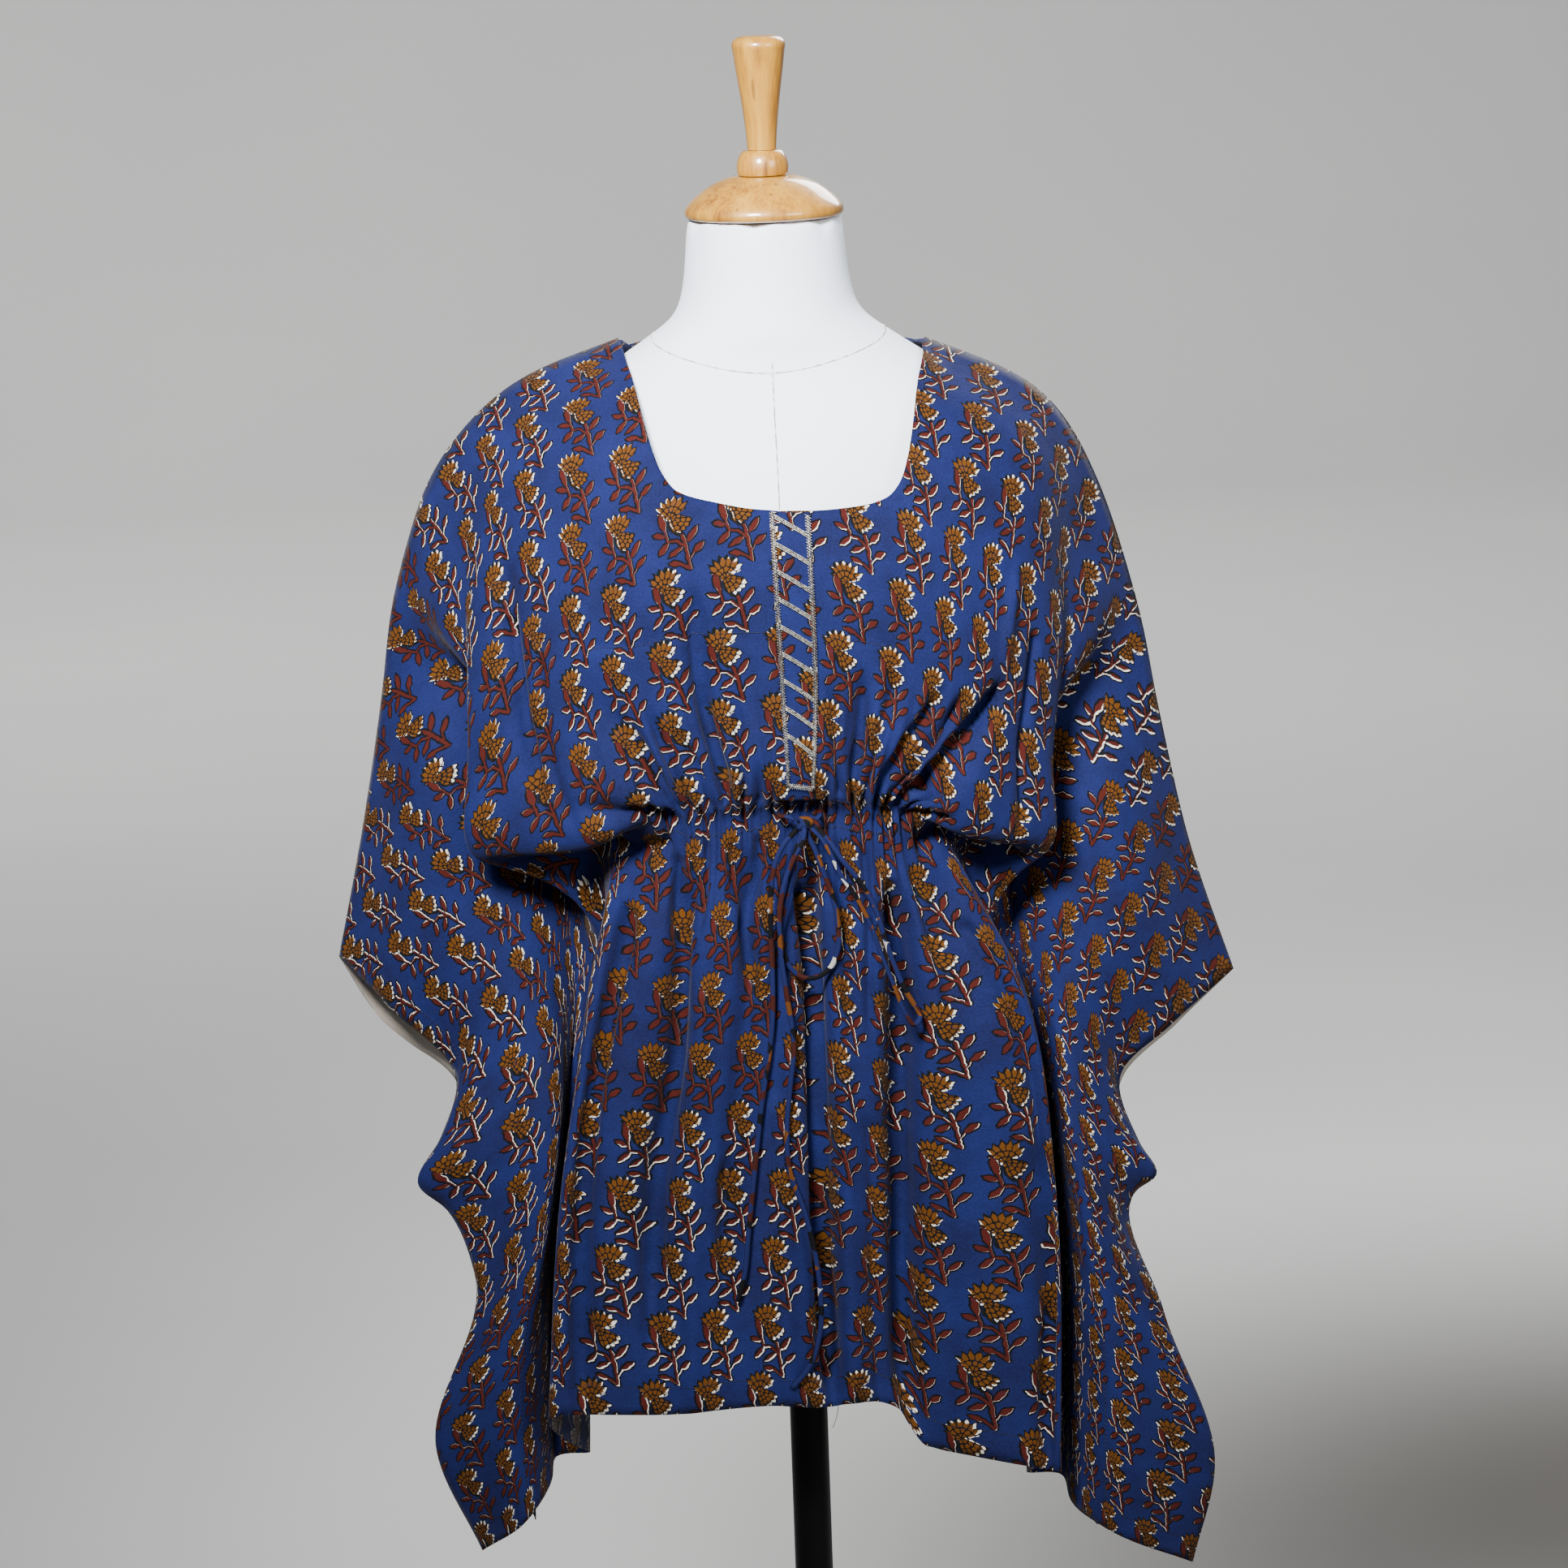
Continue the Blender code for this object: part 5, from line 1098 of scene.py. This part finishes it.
BACK_NECK = (
    Neck(44, 0, 0), Neck(43, 30, 30), Neck(39, 58, 58), Neck(30, 80, 80), Neck(15, 93, 93), Neck(0, 98, 98),
)
BACK_CLEARANCE = 5.0
WING_APART = 2.5
WING_FLARE = 7.0
WING_FLARE_LEAST = 1.3
WING_FLARE_FROM = 5.0
WING_RIPPLE = 31.0
WING_JOIN = (55.0, 12.0)
WING_JOIN_TOP = 75.0
WING_GUARD_TOP = 120.0
BACK_OPENING = Opening(-13.0, 0, 0, 0, 0, 0, 0, 0, 0)
BACK_LEFT = (
    Section("shoulder", (0, 3.4, 1394), (-97, 3.4, 1368), (-185, 3.4, 1330), (-231, 3.4, 1277),
            (-258, 3.4, 1204), (-272, 3.4, 1118), (-287, 3.4, 1039), (-307, 3.4, 951)),
    Section("yoke", (0, 74, 1338), (-98, 62, 1330), (-180, 48, 1290), (-210, 40, 1238),
            (-226, 42, 1168), (-242, 42, 1080), (-262, 40, 998), (-284, 24, 905)),
    Section("bust", (0, 104, 1270), (-98, 94, 1262), (-174, 70, 1215), (-202, 52, 1168),
            (-186, 26, 1098), (-214, 28, 1028), (-234, 14, 962), (-240, 4, 860)),
    Section("ribs", (0, 110, 1190), (-99, 101, 1185), (-170, 76, 1140), (-200, 54, 1090),
            (-182, 16, 1022), (-206, 8, 962), (-206, -24, 922), (-242, -6, 830)),
    Section("pouch", (0, 106, 1110), (-99, 99, 1105), (-168, 76, 1060), (-198, 54, 1015),
            (-188, 12, 955), (-190, -16, 900), (-166, -66, 877), (-257, -30, 799)),
    Section("casing", (0, 104, 1050), (-99, 98, 1045), (-167, 78, 1000), (-197, 54, 960),
            (-190, 10, 900), (-178, -28, 850), (-163, -74, 837), (-239, -6, 774)),
    Section("hip", (0, 110, 960), (-101, 104, 955), (-169, 84, 910), (-198, 54, 870),
            (-194, 8, 820), (-176, -38, 790), (-170, -82, 777), (-223, -20, 733)),
    Section("skirt", (0, 116, 800), (-106, 109, 795), (-173, 88, 760), (-204, 54, 730),
            (-200, 6, 700), (-186, -44, 680), (-190, -86, 678), (-252, -34, 616)),
    Section("hem", (0, 122, 636), (-110, 112, 634), (-176, 90, 615), (-208, 54, 595),
            (-203, 6, 580), (-188, -44, 565), (-190, -84, 573), (-225, -10, 538)),
)
BACK_RIGHT = (
    Section("shoulder", (0, 3.4, 1394), (101, 3.4, 1362), (188, 3.4, 1315), (222, 3.4, 1250),
            (243, 3.4, 1176), (258, 3.4, 1089), (274, 3.4, 1010), (302, 3.4, 921)),
    Section("yoke", (0, 74, 1338), (100, 62, 1324), (180, 48, 1275), (200, 40, 1212),
            (210, 42, 1140), (226, 42, 1052), (246, 40, 974), (264, 24, 880)),
    Section("bust", (0, 104, 1270), (99, 94, 1256), (168, 70, 1205), (190, 52, 1142),
            (178, 26, 1072), (206, 28, 1000), (224, 14, 930), (228, 4, 848)),
    Section("ribs", (0, 110, 1190), (99, 101, 1180), (164, 76, 1130), (188, 54, 1066),
            (176, 16, 996), (204, 8, 935), (212, -24, 882), (234, -6, 810)),
    Section("pouch", (0, 106, 1110), (99, 99, 1100), (163, 76, 1050), (188, 54, 992),
            (184, 12, 930), (198, -16, 875), (192, -68, 837), (244, -30, 788)),
    Section("casing", (0, 104, 1050), (99, 98, 1040), (164, 78, 990), (190, 54, 938),
            (190, 10, 876), (196, -30, 828), (195, -76, 792), (231, -8, 771)),
    Section("hip", (0, 110, 960), (101, 104, 950), (168, 84, 900), (196, 54, 850),
            (198, 8, 800), (198, -38, 770), (197, -80, 738), (247, -20, 692)),
    Section("skirt", (0, 116, 800), (106, 109, 790), (176, 88, 748), (206, 54, 708),
            (204, 6, 680), (198, -44, 665), (198, -82, 653), (278, -30, 588)),
    Section("hem", (0, 122, 636), (110, 112, 630), (182, 90, 602), (212, 54, 575),
            (206, 6, 560), (198, -44, 548), (197, -78, 553), (262, -6, 511)),
)
BACK_FOLDS = (
    Fold("left back", 20, 9, ((-70, 420), (-80, 775))),
    Fold("right back", 22, 10, ((60, 400), (75, 775))),
    Fold("left back hip", 16, 10, ((-150, 330), (-158, 775))),
    Fold("right back hip", 16, 9, ((148, 330), (152, 775))),
)


def hang_back():
    """The back's outer face on the flat cloth's grid."""
    grid = fall(BACK_LEFT, BACK_RIGHT, BACK_OPENING)
    grid = grid - normals_of(grid, -1.0) * fold_depth(BACK_FOLDS, flat_u, flat_v)[..., None]
    out = np.abs(flat_u)
    flare = WING_FLARE * ease(out, SEAM_U + WING_FLARE_FROM, CUT_HALF_WIDTH)
    flare = flare * (WING_FLARE_LEAST + np.sin(flat_v / WING_RIPPLE))
    outward = rounded(front_cloth.normals, np.ones(len(FLAT_U)))
    lying = front_cloth.grid - outward * (2 * WALL + WING_APART) + np.array([0.0, 1.0, 0.0]) * flare[..., None]
    joined = ease(out, *(SEAM_U - off for off in WING_JOIN))
    joined = joined * ease(flat_v, ARMHOLE_V - WING_JOIN_TOP, ARMHOLE_V)
    grid = grid * (1 - joined[..., None]) + lying * joined[..., None]
    behind = np.sum((front_cloth.grid - grid) * outward, axis=-1)
    guarded = (out > SEAM_U) & (flat_v > ARMHOLE_V - WING_GUARD_TOP)
    close = np.where(guarded, np.maximum(2 * WALL + WING_APART - behind, 0), 0)
    return grid - outward * close[..., None]


def no_depth(u, v):
    """The back has no fine folds beyond its main ones."""
    return np.zeros_like(u)


back_cloth = HungCloth(hang_back(), -1.0, no_depth, BACK_CLEARANCE)
BACK_COLUMNS = spaced((-CUT_HALF_WIDTH, 0), (CUT_HALF_WIDTH, 6.2))
BACK_ROWS = spaced((0.0, 0), (2.0, 0.0155))
back = build_panel(
    "back_cloth", back_cloth, BACK_COLUMNS, BACK_ROWS, BACK_NECK, -1.0, (print_right, print_reverse))
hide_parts("back_panel")


# ---------------------------------------------------------------- Placket band and lace
# A narrow band of the same print sewn down the centre front from the neckline, and on it a ribbon of silver
# lace: two zigzag borders of metal thread with slanting silver tapes between them.

BAND_LIFT = 1.0
SILVER_LIFT = 2.1
LACE_BARS = 9
THREAD = 0.65
CORE_THREAD = 0.6
ZIGZAG_PITCH = 3.5
ZIGZAG_SWING = 1.7
ZIGZAG_OVER = 0.25
LACE_INSET = 1.6
LACE_TOP_INSET = 1.5
LACE_END_INSET = 0.5
BAR_DROP = 11.0
BAR_FIRST = 2.0
BAR_ROOM = 17.0
BAR_INSET = 0.9
BAR_WIDTH = 0.85
BAR_THREADS = (-1.15, 0.0, 1.15)
BAND_PRINT_SHIFT = (11.0, 19.0)


def silver_thread():
    """Silver-coloured metal thread (lurex) wound on cotton: bright, broken glints and a grey body."""
    mat, add, shader = new_material("silver metal thread")
    place = add("TexCoord").outputs["Object"]
    twist = add("TexNoise", {"Vector": place, "Scale": 1 / (1.1 * MM), "Detail": 3.0})
    tone = add("ValToRGB", {"Fac": twist})
    tone.color_ramp.elements[0].position, tone.color_ramp.elements[0].color = 0.35, linear("#42413f")
    tone.color_ramp.elements[1].position, tone.color_ramp.elements[1].color = 0.65, linear("#bab7af")
    bump = add("Bump", {"Strength": 0.8, "Distance": 0.3 * MM, "Height": twist})
    mat.node_tree.links.new(tone.outputs[0], shader.inputs["Base Color"])
    mat.node_tree.links.new(bump.outputs[0], shader.inputs["Normal"])
    shader.inputs["Metallic"].default_value = 0.75
    shader.inputs["Roughness"].default_value = 0.38
    return mat


def build_band():
    """The band as a thin sheet a little above the front, with its edges turned down to it."""
    across = np.linspace(BAND_LEFT, BAND_RIGHT, 16)
    downs = np.linspace(0, 1, 120)
    start = cloth_start(across, FRONT_NECK) + 1.0
    u = np.array([across for _ in downs])
    v = np.array([start + (BAND_END_V - start) * d for d in downs])
    edge = np.minimum(np.minimum(u - BAND_LEFT, BAND_RIGHT - u), np.minimum(v - start, BAND_END_V - v))
    lift = BAND_LIFT * ease(edge, -0.8, 1.2)
    verts = front_cloth.at(u, v, lift).reshape(-1, 3)
    n = len(across)
    faces = [(a, a + n, a + n + 1, a + 1) for j in range(len(downs) - 1) for a in range(j * n, j * n + n - 1)]
    piece = piece_from("placket_cloth", verts, faces, print_right)
    piece.data.materials.append(print_reverse)
    flat = np.stack([u.ravel() + BAND_PRINT_SHIFT[0], v.ravel() + BAND_PRINT_SHIFT[1]], axis=1) * MM
    layer = piece.data.uv_layers.new(name="flat cloth")
    for loop, corner in zip(piece.data.loops, layer.data):
        corner.uv = flat[loop.vertex_index]
    thicken(piece)
    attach(piece, "root")
    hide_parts("placket_band")


def thread_run(u, v, width, thick, lift=SILVER_LIFT):
    """Points and faces of one thread laid on the front."""
    return rod_along(front_cloth.at(u, v, lift), width, thick, 6)


def build_lace():
    """Borders: two threads that zigzag against each other over a core. Tapes: three threads side by side."""
    top, end = FRONT_NECK[0].v + LACE_TOP_INSET, BAND_END_V - LACE_END_INSET
    left, right = BAND_LEFT + LACE_INSET, BAND_RIGHT - LACE_INSET
    parts = []
    runs = (
        ((left, top), (left, end)),
        ((right, top), (right, end)),
        ((left, end), (right, end)),
    )
    for (u0, v0), (u1, v1) in runs:
        length = math.hypot(u1 - u0, v1 - v0)
        steps = round(length / ZIGZAG_PITCH) * 2
        for phase in (0, 1):
            k = np.arange(steps + 1)
            sway = np.where((k + phase) % 2 == 0, ZIGZAG_SWING, -ZIGZAG_SWING)
            u = u0 + (u1 - u0) * k / steps + sway * (v1 - v0) / length
            v = v0 + (v1 - v0) * k / steps - sway * (u1 - u0) / length
            parts.append(thread_run(u, v, THREAD, THREAD, SILVER_LIFT + ZIGZAG_OVER * phase))
        k = np.linspace(0, 1, steps)
        u, v = u0 + (u1 - u0) * k, v0 + (v1 - v0) * k
        parts.append(thread_run(u, v, CORE_THREAD, CORE_THREAD, SILVER_LIFT - 0.2))
    bar_pitch = (end - top - BAR_ROOM) / LACE_BARS
    for k in range(LACE_BARS):
        v0 = top + BAR_FIRST + k * bar_pitch
        t = np.linspace(0, 1, 14)
        for offset in BAR_THREADS:
            u = left + BAR_INSET + (right - left - 2 * BAR_INSET) * t
            v = v0 + BAR_DROP * t + offset
            parts.append(thread_run(u, v, BAR_WIDTH, CORE_THREAD))
    piece = joined_piece("silver_lace", parts, silver_thread())
    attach(piece, "root")
    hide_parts("lace_trim")


build_band()
build_lace()


# ---------------------------------------------------------------- Dress form's torso
# A limbless torso of moulded shell under a stretched white cotton cover, which has a seam round the base of
# the neck and one down the centre front.

SEAM_PIPE = 0.9


def smooth_copy(node, name, mat, levels=2):
    """A copy of a CAD node with its triangles merged to quads and subdivided."""
    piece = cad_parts[node].copy()
    piece.data = piece.data.copy()
    piece.name = piece.data.name = name
    for key in [k for k in piece.keys() if k.startswith("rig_")]:
        del piece[key]
    piece.parent = None
    bpy.context.scene.collection.objects.link(piece)
    select_only(piece)
    bpy.ops.object.mode_set(mode="EDIT")
    bpy.ops.mesh.select_all(action="SELECT")
    bpy.ops.mesh.remove_doubles(threshold=1e-5)
    bpy.ops.mesh.tris_convert_to_quads(face_threshold=math.radians(60), shape_threshold=math.radians(60))
    bpy.ops.object.mode_set(mode="OBJECT")
    rounder = piece.modifiers.new("rounded", "SUBSURF")
    rounder.levels = rounder.render_levels = levels
    bpy.ops.object.modifier_apply(modifier=rounder.name)
    piece.data.materials.clear()
    piece.data.materials.append(mat)
    piece.data.shade_smooth()
    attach(piece, "root")
    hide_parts(node)
    return piece


def white_cover_finish():
    """White cotton jersey stretched over the shell: matt, with a faint weave and slight unevenness."""
    mat, add, shader = new_material("white cotton jersey cover")
    place = add("TexCoord").outputs["Object"]
    cloud = add("TexNoise", {"Vector": place, "Scale": 14.0, "Detail": 4.0})
    colour = add("Mix", {0: cloud, 6: linear("#dbe2ee"), 7: linear("#e6edfa")}, data_type="RGBA")
    weave = add("TexNoise", {"Vector": place, "Scale": 1 / (1.2 * MM), "Detail": 2.0})
    bump = add("Bump", {"Strength": 0.12, "Distance": 0.2 * MM, "Height": weave})
    mat.node_tree.links.new(colour.outputs[2], shader.inputs["Base Color"])
    mat.node_tree.links.new(bump.outputs[0], shader.inputs["Normal"])
    shader.inputs["Roughness"].default_value = 0.8
    shader.inputs["Sheen Weight"].default_value = 0.1
    return mat


def seam_thread_and_shadow_finish():
    """Grey-brown cotton thread of the cover's seams, in short stitches with the white cover between them. Its
    grey also stands for the shade in the seam's groove: painted shade.
    """
    mat, add, shader = new_material("grey cotton seam thread and painted seam shade")
    place = add("TexCoord").outputs["Object"]
    stitches = add("TexNoise", {"Vector": place, "Scale": 1 / (4 * MM), "Detail": 1.0})
    share = add("MapRange", {0: stitches, 1: 0.42, 2: 0.58})
    # The grey is partly the seam thread and partly painted shade of the seam's groove
    colour = add("Mix", {0: share, 6: linear("#8f8a86"), 7: linear("#cfcdcd")}, data_type="RGBA")
    mat.node_tree.links.new(colour.outputs[2], shader.inputs["Base Color"])
    shader.inputs["Roughness"].default_value = 0.9
    return mat


cover = white_cover_finish()
seam_thread_and_painted_shade = seam_thread_and_shadow_finish()
torso = smooth_copy("form_torso", "torso_cover", cover)


def seam_on(name, starts, aims):
    """A sewn seam's thin welt, laid on the torso where rays from the starts towards the aims meet it."""
    shell = BVHTree.FromObject(torso, bpy.context.evaluated_depsgraph_get())
    path = []
    for start, aim in zip(starts, aims):
        start, aim = Vector(start) * MM, Vector(aim) * MM
        hit = shell.ray_cast(start, (aim - start).normalized())[0]
        if hit is not None:
            path.append(np.array(hit) / MM)
    piece = piece_from(name, *rod_along(path, SEAM_PIPE, SEAM_PIPE, 6), seam_thread_and_painted_shade)
    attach(piece, "root")


NECK_SEAM_SIDE_Z = 1375.0
NECK_SEAM_FRONT_Z = 1354.0
CENTRE_SEAM_END_Z = 900.0
CENTRE_SEAM_X = 2.0
CENTRE_SEAM_DRIFT = 4.0
RAY_START = 300.0
turn = np.linspace(0, 2 * math.pi, 90)
neck_z = NECK_SEAM_SIDE_Z - (NECK_SEAM_SIDE_Z - NECK_SEAM_FRONT_Z) * np.maximum(np.sin(turn), 0) ** 1.5
seam_on(
    "neck_seam",
    [(200 * math.cos(a), -200 * math.sin(a), z) for a, z in zip(turn, neck_z)],
    [(0, 0, z - 10) for z in neck_z],
)
down = np.linspace(NECK_SEAM_FRONT_Z, CENTRE_SEAM_END_Z, 120)
seam_on(
    "centre_front_seam",
    [(CENTRE_SEAM_X + CENTRE_SEAM_DRIFT * ease(NECK_SEAM_FRONT_Z - z, 0, 90), -RAY_START, z) for z in down],
    [(CENTRE_SEAM_X, 0, z) for z in down],
)


# ---------------------------------------------------------------- Turned cap, ball and handle
# Turned from a pale hardwood and varnished to a gloss: a low domed cap on the neck, a ball and a tapered
# handle.


def varnished_wood_finish():
    """Honey-coloured hardwood, turned and varnished: straight grain, dark flecks and a clear gloss."""
    mat, add, shader = new_material("varnished turned hardwood")
    place = add("TexCoord").outputs["Object"]
    along = add("Mapping", {0: place, 3: (1.0, 1.0, 0.06)})
    grain = add("TexNoise", {"Vector": along, "Scale": 1 / (2.5 * MM), "Detail": 4.0, "Roughness": 0.6})
    broad = add("TexNoise", {"Vector": along, "Scale": 1 / (14 * MM), "Detail": 3.0})
    fine_share = add("Math", (grain, 0.4), operation="MULTIPLY")
    mixed = add("Math", (broad, 0.6, fine_share), operation="MULTIPLY_ADD")
    tone = add("ValToRGB", {"Fac": mixed})
    tone.color_ramp.elements[0].position, tone.color_ramp.elements[0].color = 0.36, linear("#7a4c10")
    tone.color_ramp.elements[1].position, tone.color_ramp.elements[1].color = 0.64, linear("#b1822a")
    tone.color_ramp.elements.new(0.5).color = linear("#a2701c")
    flecks = add("TexVoronoi", {"Vector": along, "Scale": 1 / (9 * MM)})
    dark = add("MapRange", {0: flecks.outputs["Distance"], 1: 0.10, 2: 0.16, 3: 0.55, 4: 0.0})
    colour = add("Mix", {0: dark, 6: tone, 7: linear("#4a260c")}, data_type="RGBA")
    mat.node_tree.links.new(colour.outputs[2], shader.inputs["Base Color"])
    shader.inputs["Roughness"].default_value = 0.42
    shader.inputs["Coat Weight"].default_value = 0.8
    shader.inputs["Coat Roughness"].default_value = 0.08
    return mat


def turned(name, node, profile, mat, sides=96, x=0.0):
    """A piece turned from (height, radius) pairs, top to bottom: a disc that is drawn down ring by ring."""
    bpy.ops.object.select_all(action="DESELECT")
    top, radius = profile[0]
    bpy.ops.mesh.primitive_circle_add(
        vertices=sides, radius=radius * MM, fill_type="NGON", location=(x * MM, 0, top * MM))
    piece = bpy.context.active_object
    piece.name = piece.data.name = name
    bpy.ops.object.mode_set(mode="EDIT")
    bpy.ops.mesh.select_all(action="SELECT")
    for (z0, r0), (z1, r1) in zip(profile, profile[1:]):
        bpy.ops.mesh.extrude_region_move(TRANSFORM_OT_translate={"value": (0, 0, (z1 - z0) * MM)})
        bpy.ops.transform.resize(
            value=(r1 / r0, r1 / r0, 1), center_override=(x * MM, 0, z1 * MM))
    bpy.ops.mesh.select_all(action="SELECT")
    bpy.ops.mesh.normals_make_consistent(inside=False)
    bpy.ops.object.mode_set(mode="OBJECT")
    bpy.ops.object.transform_apply(location=True, rotation=True, scale=True)
    bpy.ops.object.shade_smooth_by_angle(angle=math.radians(50))
    piece.data.materials.append(mat)
    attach(piece, "root")
    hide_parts(node)
    return piece


CAP_PROFILE = (
    (1472.5, 18), (1472.3, 21), (1471.2, 25), (1469.2, 30.5), (1466.2, 36.5), (1462.4, 42), (1458.6, 46.6),
    (1455.6, 49.6), (1453.4, 51.6), (1451.6, 52.7), (1449.6, 53.3), (1447.6, 53.2), (1446.2, 52.5),
    (1445.3, 51),
)
BALL_PROFILE = (
    (1489.5, 11), (1489.3, 12.4), (1488, 14), (1486, 15.3), (1483.5, 16.4), (1481, 17), (1478, 17.3),
    (1475.4, 17.2), (1473.6, 16.9), (1473, 16.4),
)
HANDLE_PROFILE = (
    (1565.5, 9), (1565.2, 12), (1564, 15), (1562.4, 16.9), (1560.5, 17.8), (1558.6, 18), (1556.5, 17.6),
    (1545, 16.1), (1525, 13.2), (1511, 11.4), (1500, 10.3), (1493, 9.8), (1489.8, 9.6),
)
wood = varnished_wood_finish()
turned("neck_cap", "form_cap", CAP_PROFILE, wood)
turned("cap_ball", "form_ball", BALL_PROFILE, wood)
turned("cap_handle", "form_handle", HANDLE_PROFILE, wood)


# ---------------------------------------------------------------- Pole and base
# A black painted steel tube up into the torso, and a plain round steel base with a slightly broken edge.


def black_paint_finish():
    """Semi-gloss black enamel on steel: near black, a soft sheen with slight orange peel."""
    mat, add, shader = new_material("semi-gloss black enamel")
    place = add("TexCoord").outputs["Object"]
    peel = add("TexNoise", {"Vector": place, "Scale": 1 / (3 * MM), "Detail": 2.0})
    rough = add("MapRange", {0: peel, 3: 0.3, 4: 0.46})
    bump = add("Bump", {"Strength": 0.1, "Distance": 0.1 * MM, "Height": peel})
    mat.node_tree.links.new(rough.outputs[0], shader.inputs["Roughness"])
    mat.node_tree.links.new(bump.outputs[0], shader.inputs["Normal"])
    shader.inputs["Base Color"].default_value = linear("#030303")
    shader.inputs["Specular IOR Level"].default_value = 0.12
    return mat


POLE_RADIUS = 13.0
POLE_X = 2.0
BASE_RADIUS = 160.0
BASE_THICK = 12.0
enamel = black_paint_finish()
pole_low, pole_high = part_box("stand_pole")
turned(
    "steel_pole", "stand_pole", ((pole_high.z / MM, POLE_RADIUS), (pole_low.z / MM, POLE_RADIUS)), enamel,
    sides=64, x=POLE_X)
base_profile = (
    (BASE_THICK, BASE_RADIUS - 3), (BASE_THICK - 0.4, BASE_RADIUS - 1.4),
    (BASE_THICK - 1.4, BASE_RADIUS - 0.4), (BASE_THICK - 3, BASE_RADIUS), (0, BASE_RADIUS),
)
turned("steel_base", "stand_base", base_profile, enamel, sides=128)


# ---------------------------------------------------------------- Floor and light
# A plain grey studio floor that curves up behind, a key light from the upper left with a honeycomb to narrow
# it, a weak fill, and soft lights on the background and on the garment's back.

# The background paper's painted shade: the corner it darkens towards in metres, the distances over which it
# fades, and how much it darkens
PAPER_PAINTED_SHADE_CORNER = (0.9, 1.85, 0.0)
PAPER_PAINTED_SHADE_REACH = (0.1, 1.5)
PAPER_PAINTED_SHADE_MOST = 0.93


def studio_paper():
    """Matt grey background paper: even, with a faint mottle, and painted shade towards its lower right corner.
    """
    mat, add, shader = new_material("matt grey background paper")
    place = add("TexCoord").outputs["Object"]
    cloud = add("TexNoise", {"Vector": place, "Scale": 1.3, "Detail": 3.0})
    even = add("Mix", {0: cloud, 6: linear("#a9aaa9"), 7: linear("#b3b3b0")}, data_type="RGBA")
    # Painted shade: close to the corner the paper is mixed towards a dark brown-grey in place of a shadow
    away = add("VectorMath", {0: place, 1: PAPER_PAINTED_SHADE_CORNER}, operation="DISTANCE").outputs["Value"]
    near, far = PAPER_PAINTED_SHADE_REACH
    painted_shade_range = {0: away, 1: near, 2: far, 3: PAPER_PAINTED_SHADE_MOST, 4: 0.0}
    shaded = add("MapRange", painted_shade_range, interpolation_type="SMOOTHSTEP")
    colour = add("Mix", {0: shaded, 6: even.outputs[2], 7: linear("#302b25")}, data_type="RGBA")
    mat.node_tree.links.new(colour.outputs[2], shader.inputs["Base Color"])
    shader.inputs["Roughness"].default_value = 0.95
    return mat


FLOOR_HALF = 11.0
FLOOR_FRONT = -14.0
SWEEP_START = 9.5
SWEEP_RADIUS = 1.5
WALL_TOP = 5.0
profile = [(FLOOR_FRONT, 0.0), (SWEEP_START, 0.0)]
profile += [
    (SWEEP_START + SWEEP_RADIUS * math.sin(a), SWEEP_RADIUS * (1 - math.cos(a)))
    for a in np.linspace(0, math.pi / 2, 25)[1:]
]
profile.append((SWEEP_START + SWEEP_RADIUS, WALL_TOP))
verts = [(x / MM, y / MM, z / MM) for y, z in profile for x in (-FLOOR_HALF, FLOOR_HALF)]
faces = [(k, k + 1, k + 3, k + 2) for k in range(0, 2 * len(profile) - 2, 2)]
sweep = piece_from("studio_sweep", verts, faces, studio_paper())

world = bpy.data.worlds.new("studio")
bpy.context.scene.world = world
world.use_nodes = True
world.node_tree.nodes["Background"].inputs["Color"].default_value = linear("#e4e8ee")
world.node_tree.nodes["Background"].inputs["Strength"].default_value = 0.35


def area_light(name, place, aim, size, watts):
    """A white softbox of a size in metres, at a place and turned to an aim."""
    lamp = bpy.data.lights.new(name, "AREA")
    lamp.shape = "RECTANGLE"
    lamp.size, lamp.size_y = size
    lamp.energy = watts
    obj = bpy.data.objects.new(name, lamp)
    bpy.context.scene.collection.objects.link(obj)
    obj.location = place
    obj.rotation_euler = (Vector(aim) - Vector(place)).to_track_quat("-Z", "Y").to_euler()


KEY_PLACE = (-0.75, -2.6, 3.1)
KEY_AIM = (0, 0, 1.42)
KEY_WATTS = 2450
KEY_SPREAD = math.radians(32)

# The key's honeycomb narrows its beam, so that it fades from the chest down to the hem
beam = bpy.data.lights.new("key with honeycomb", "SPOT")
beam.energy = KEY_WATTS
beam.spot_size = KEY_SPREAD
beam.spot_blend = 1.0
beam.shadow_soft_size = 0.5
key = bpy.data.objects.new("key with honeycomb", beam)
bpy.context.scene.collection.objects.link(key)
key.location = KEY_PLACE
key.rotation_euler = (Vector(KEY_AIM) - key.location).to_track_quat("-Z", "Y").to_euler()
area_light("fill softbox", (2.6, -2.6, 2.6), (0, 0, 1.3), (1.6, 1.6), 90)
area_light("background softbox", (-1.0, 7.4, 3.6), (-0.8, 8.6, 0.0), (7.0, 5.0), 400)
area_light("back softbox", (1.4, 3.2, 3.0), (0, 0, 1.0), (1.6, 1.6), 130)
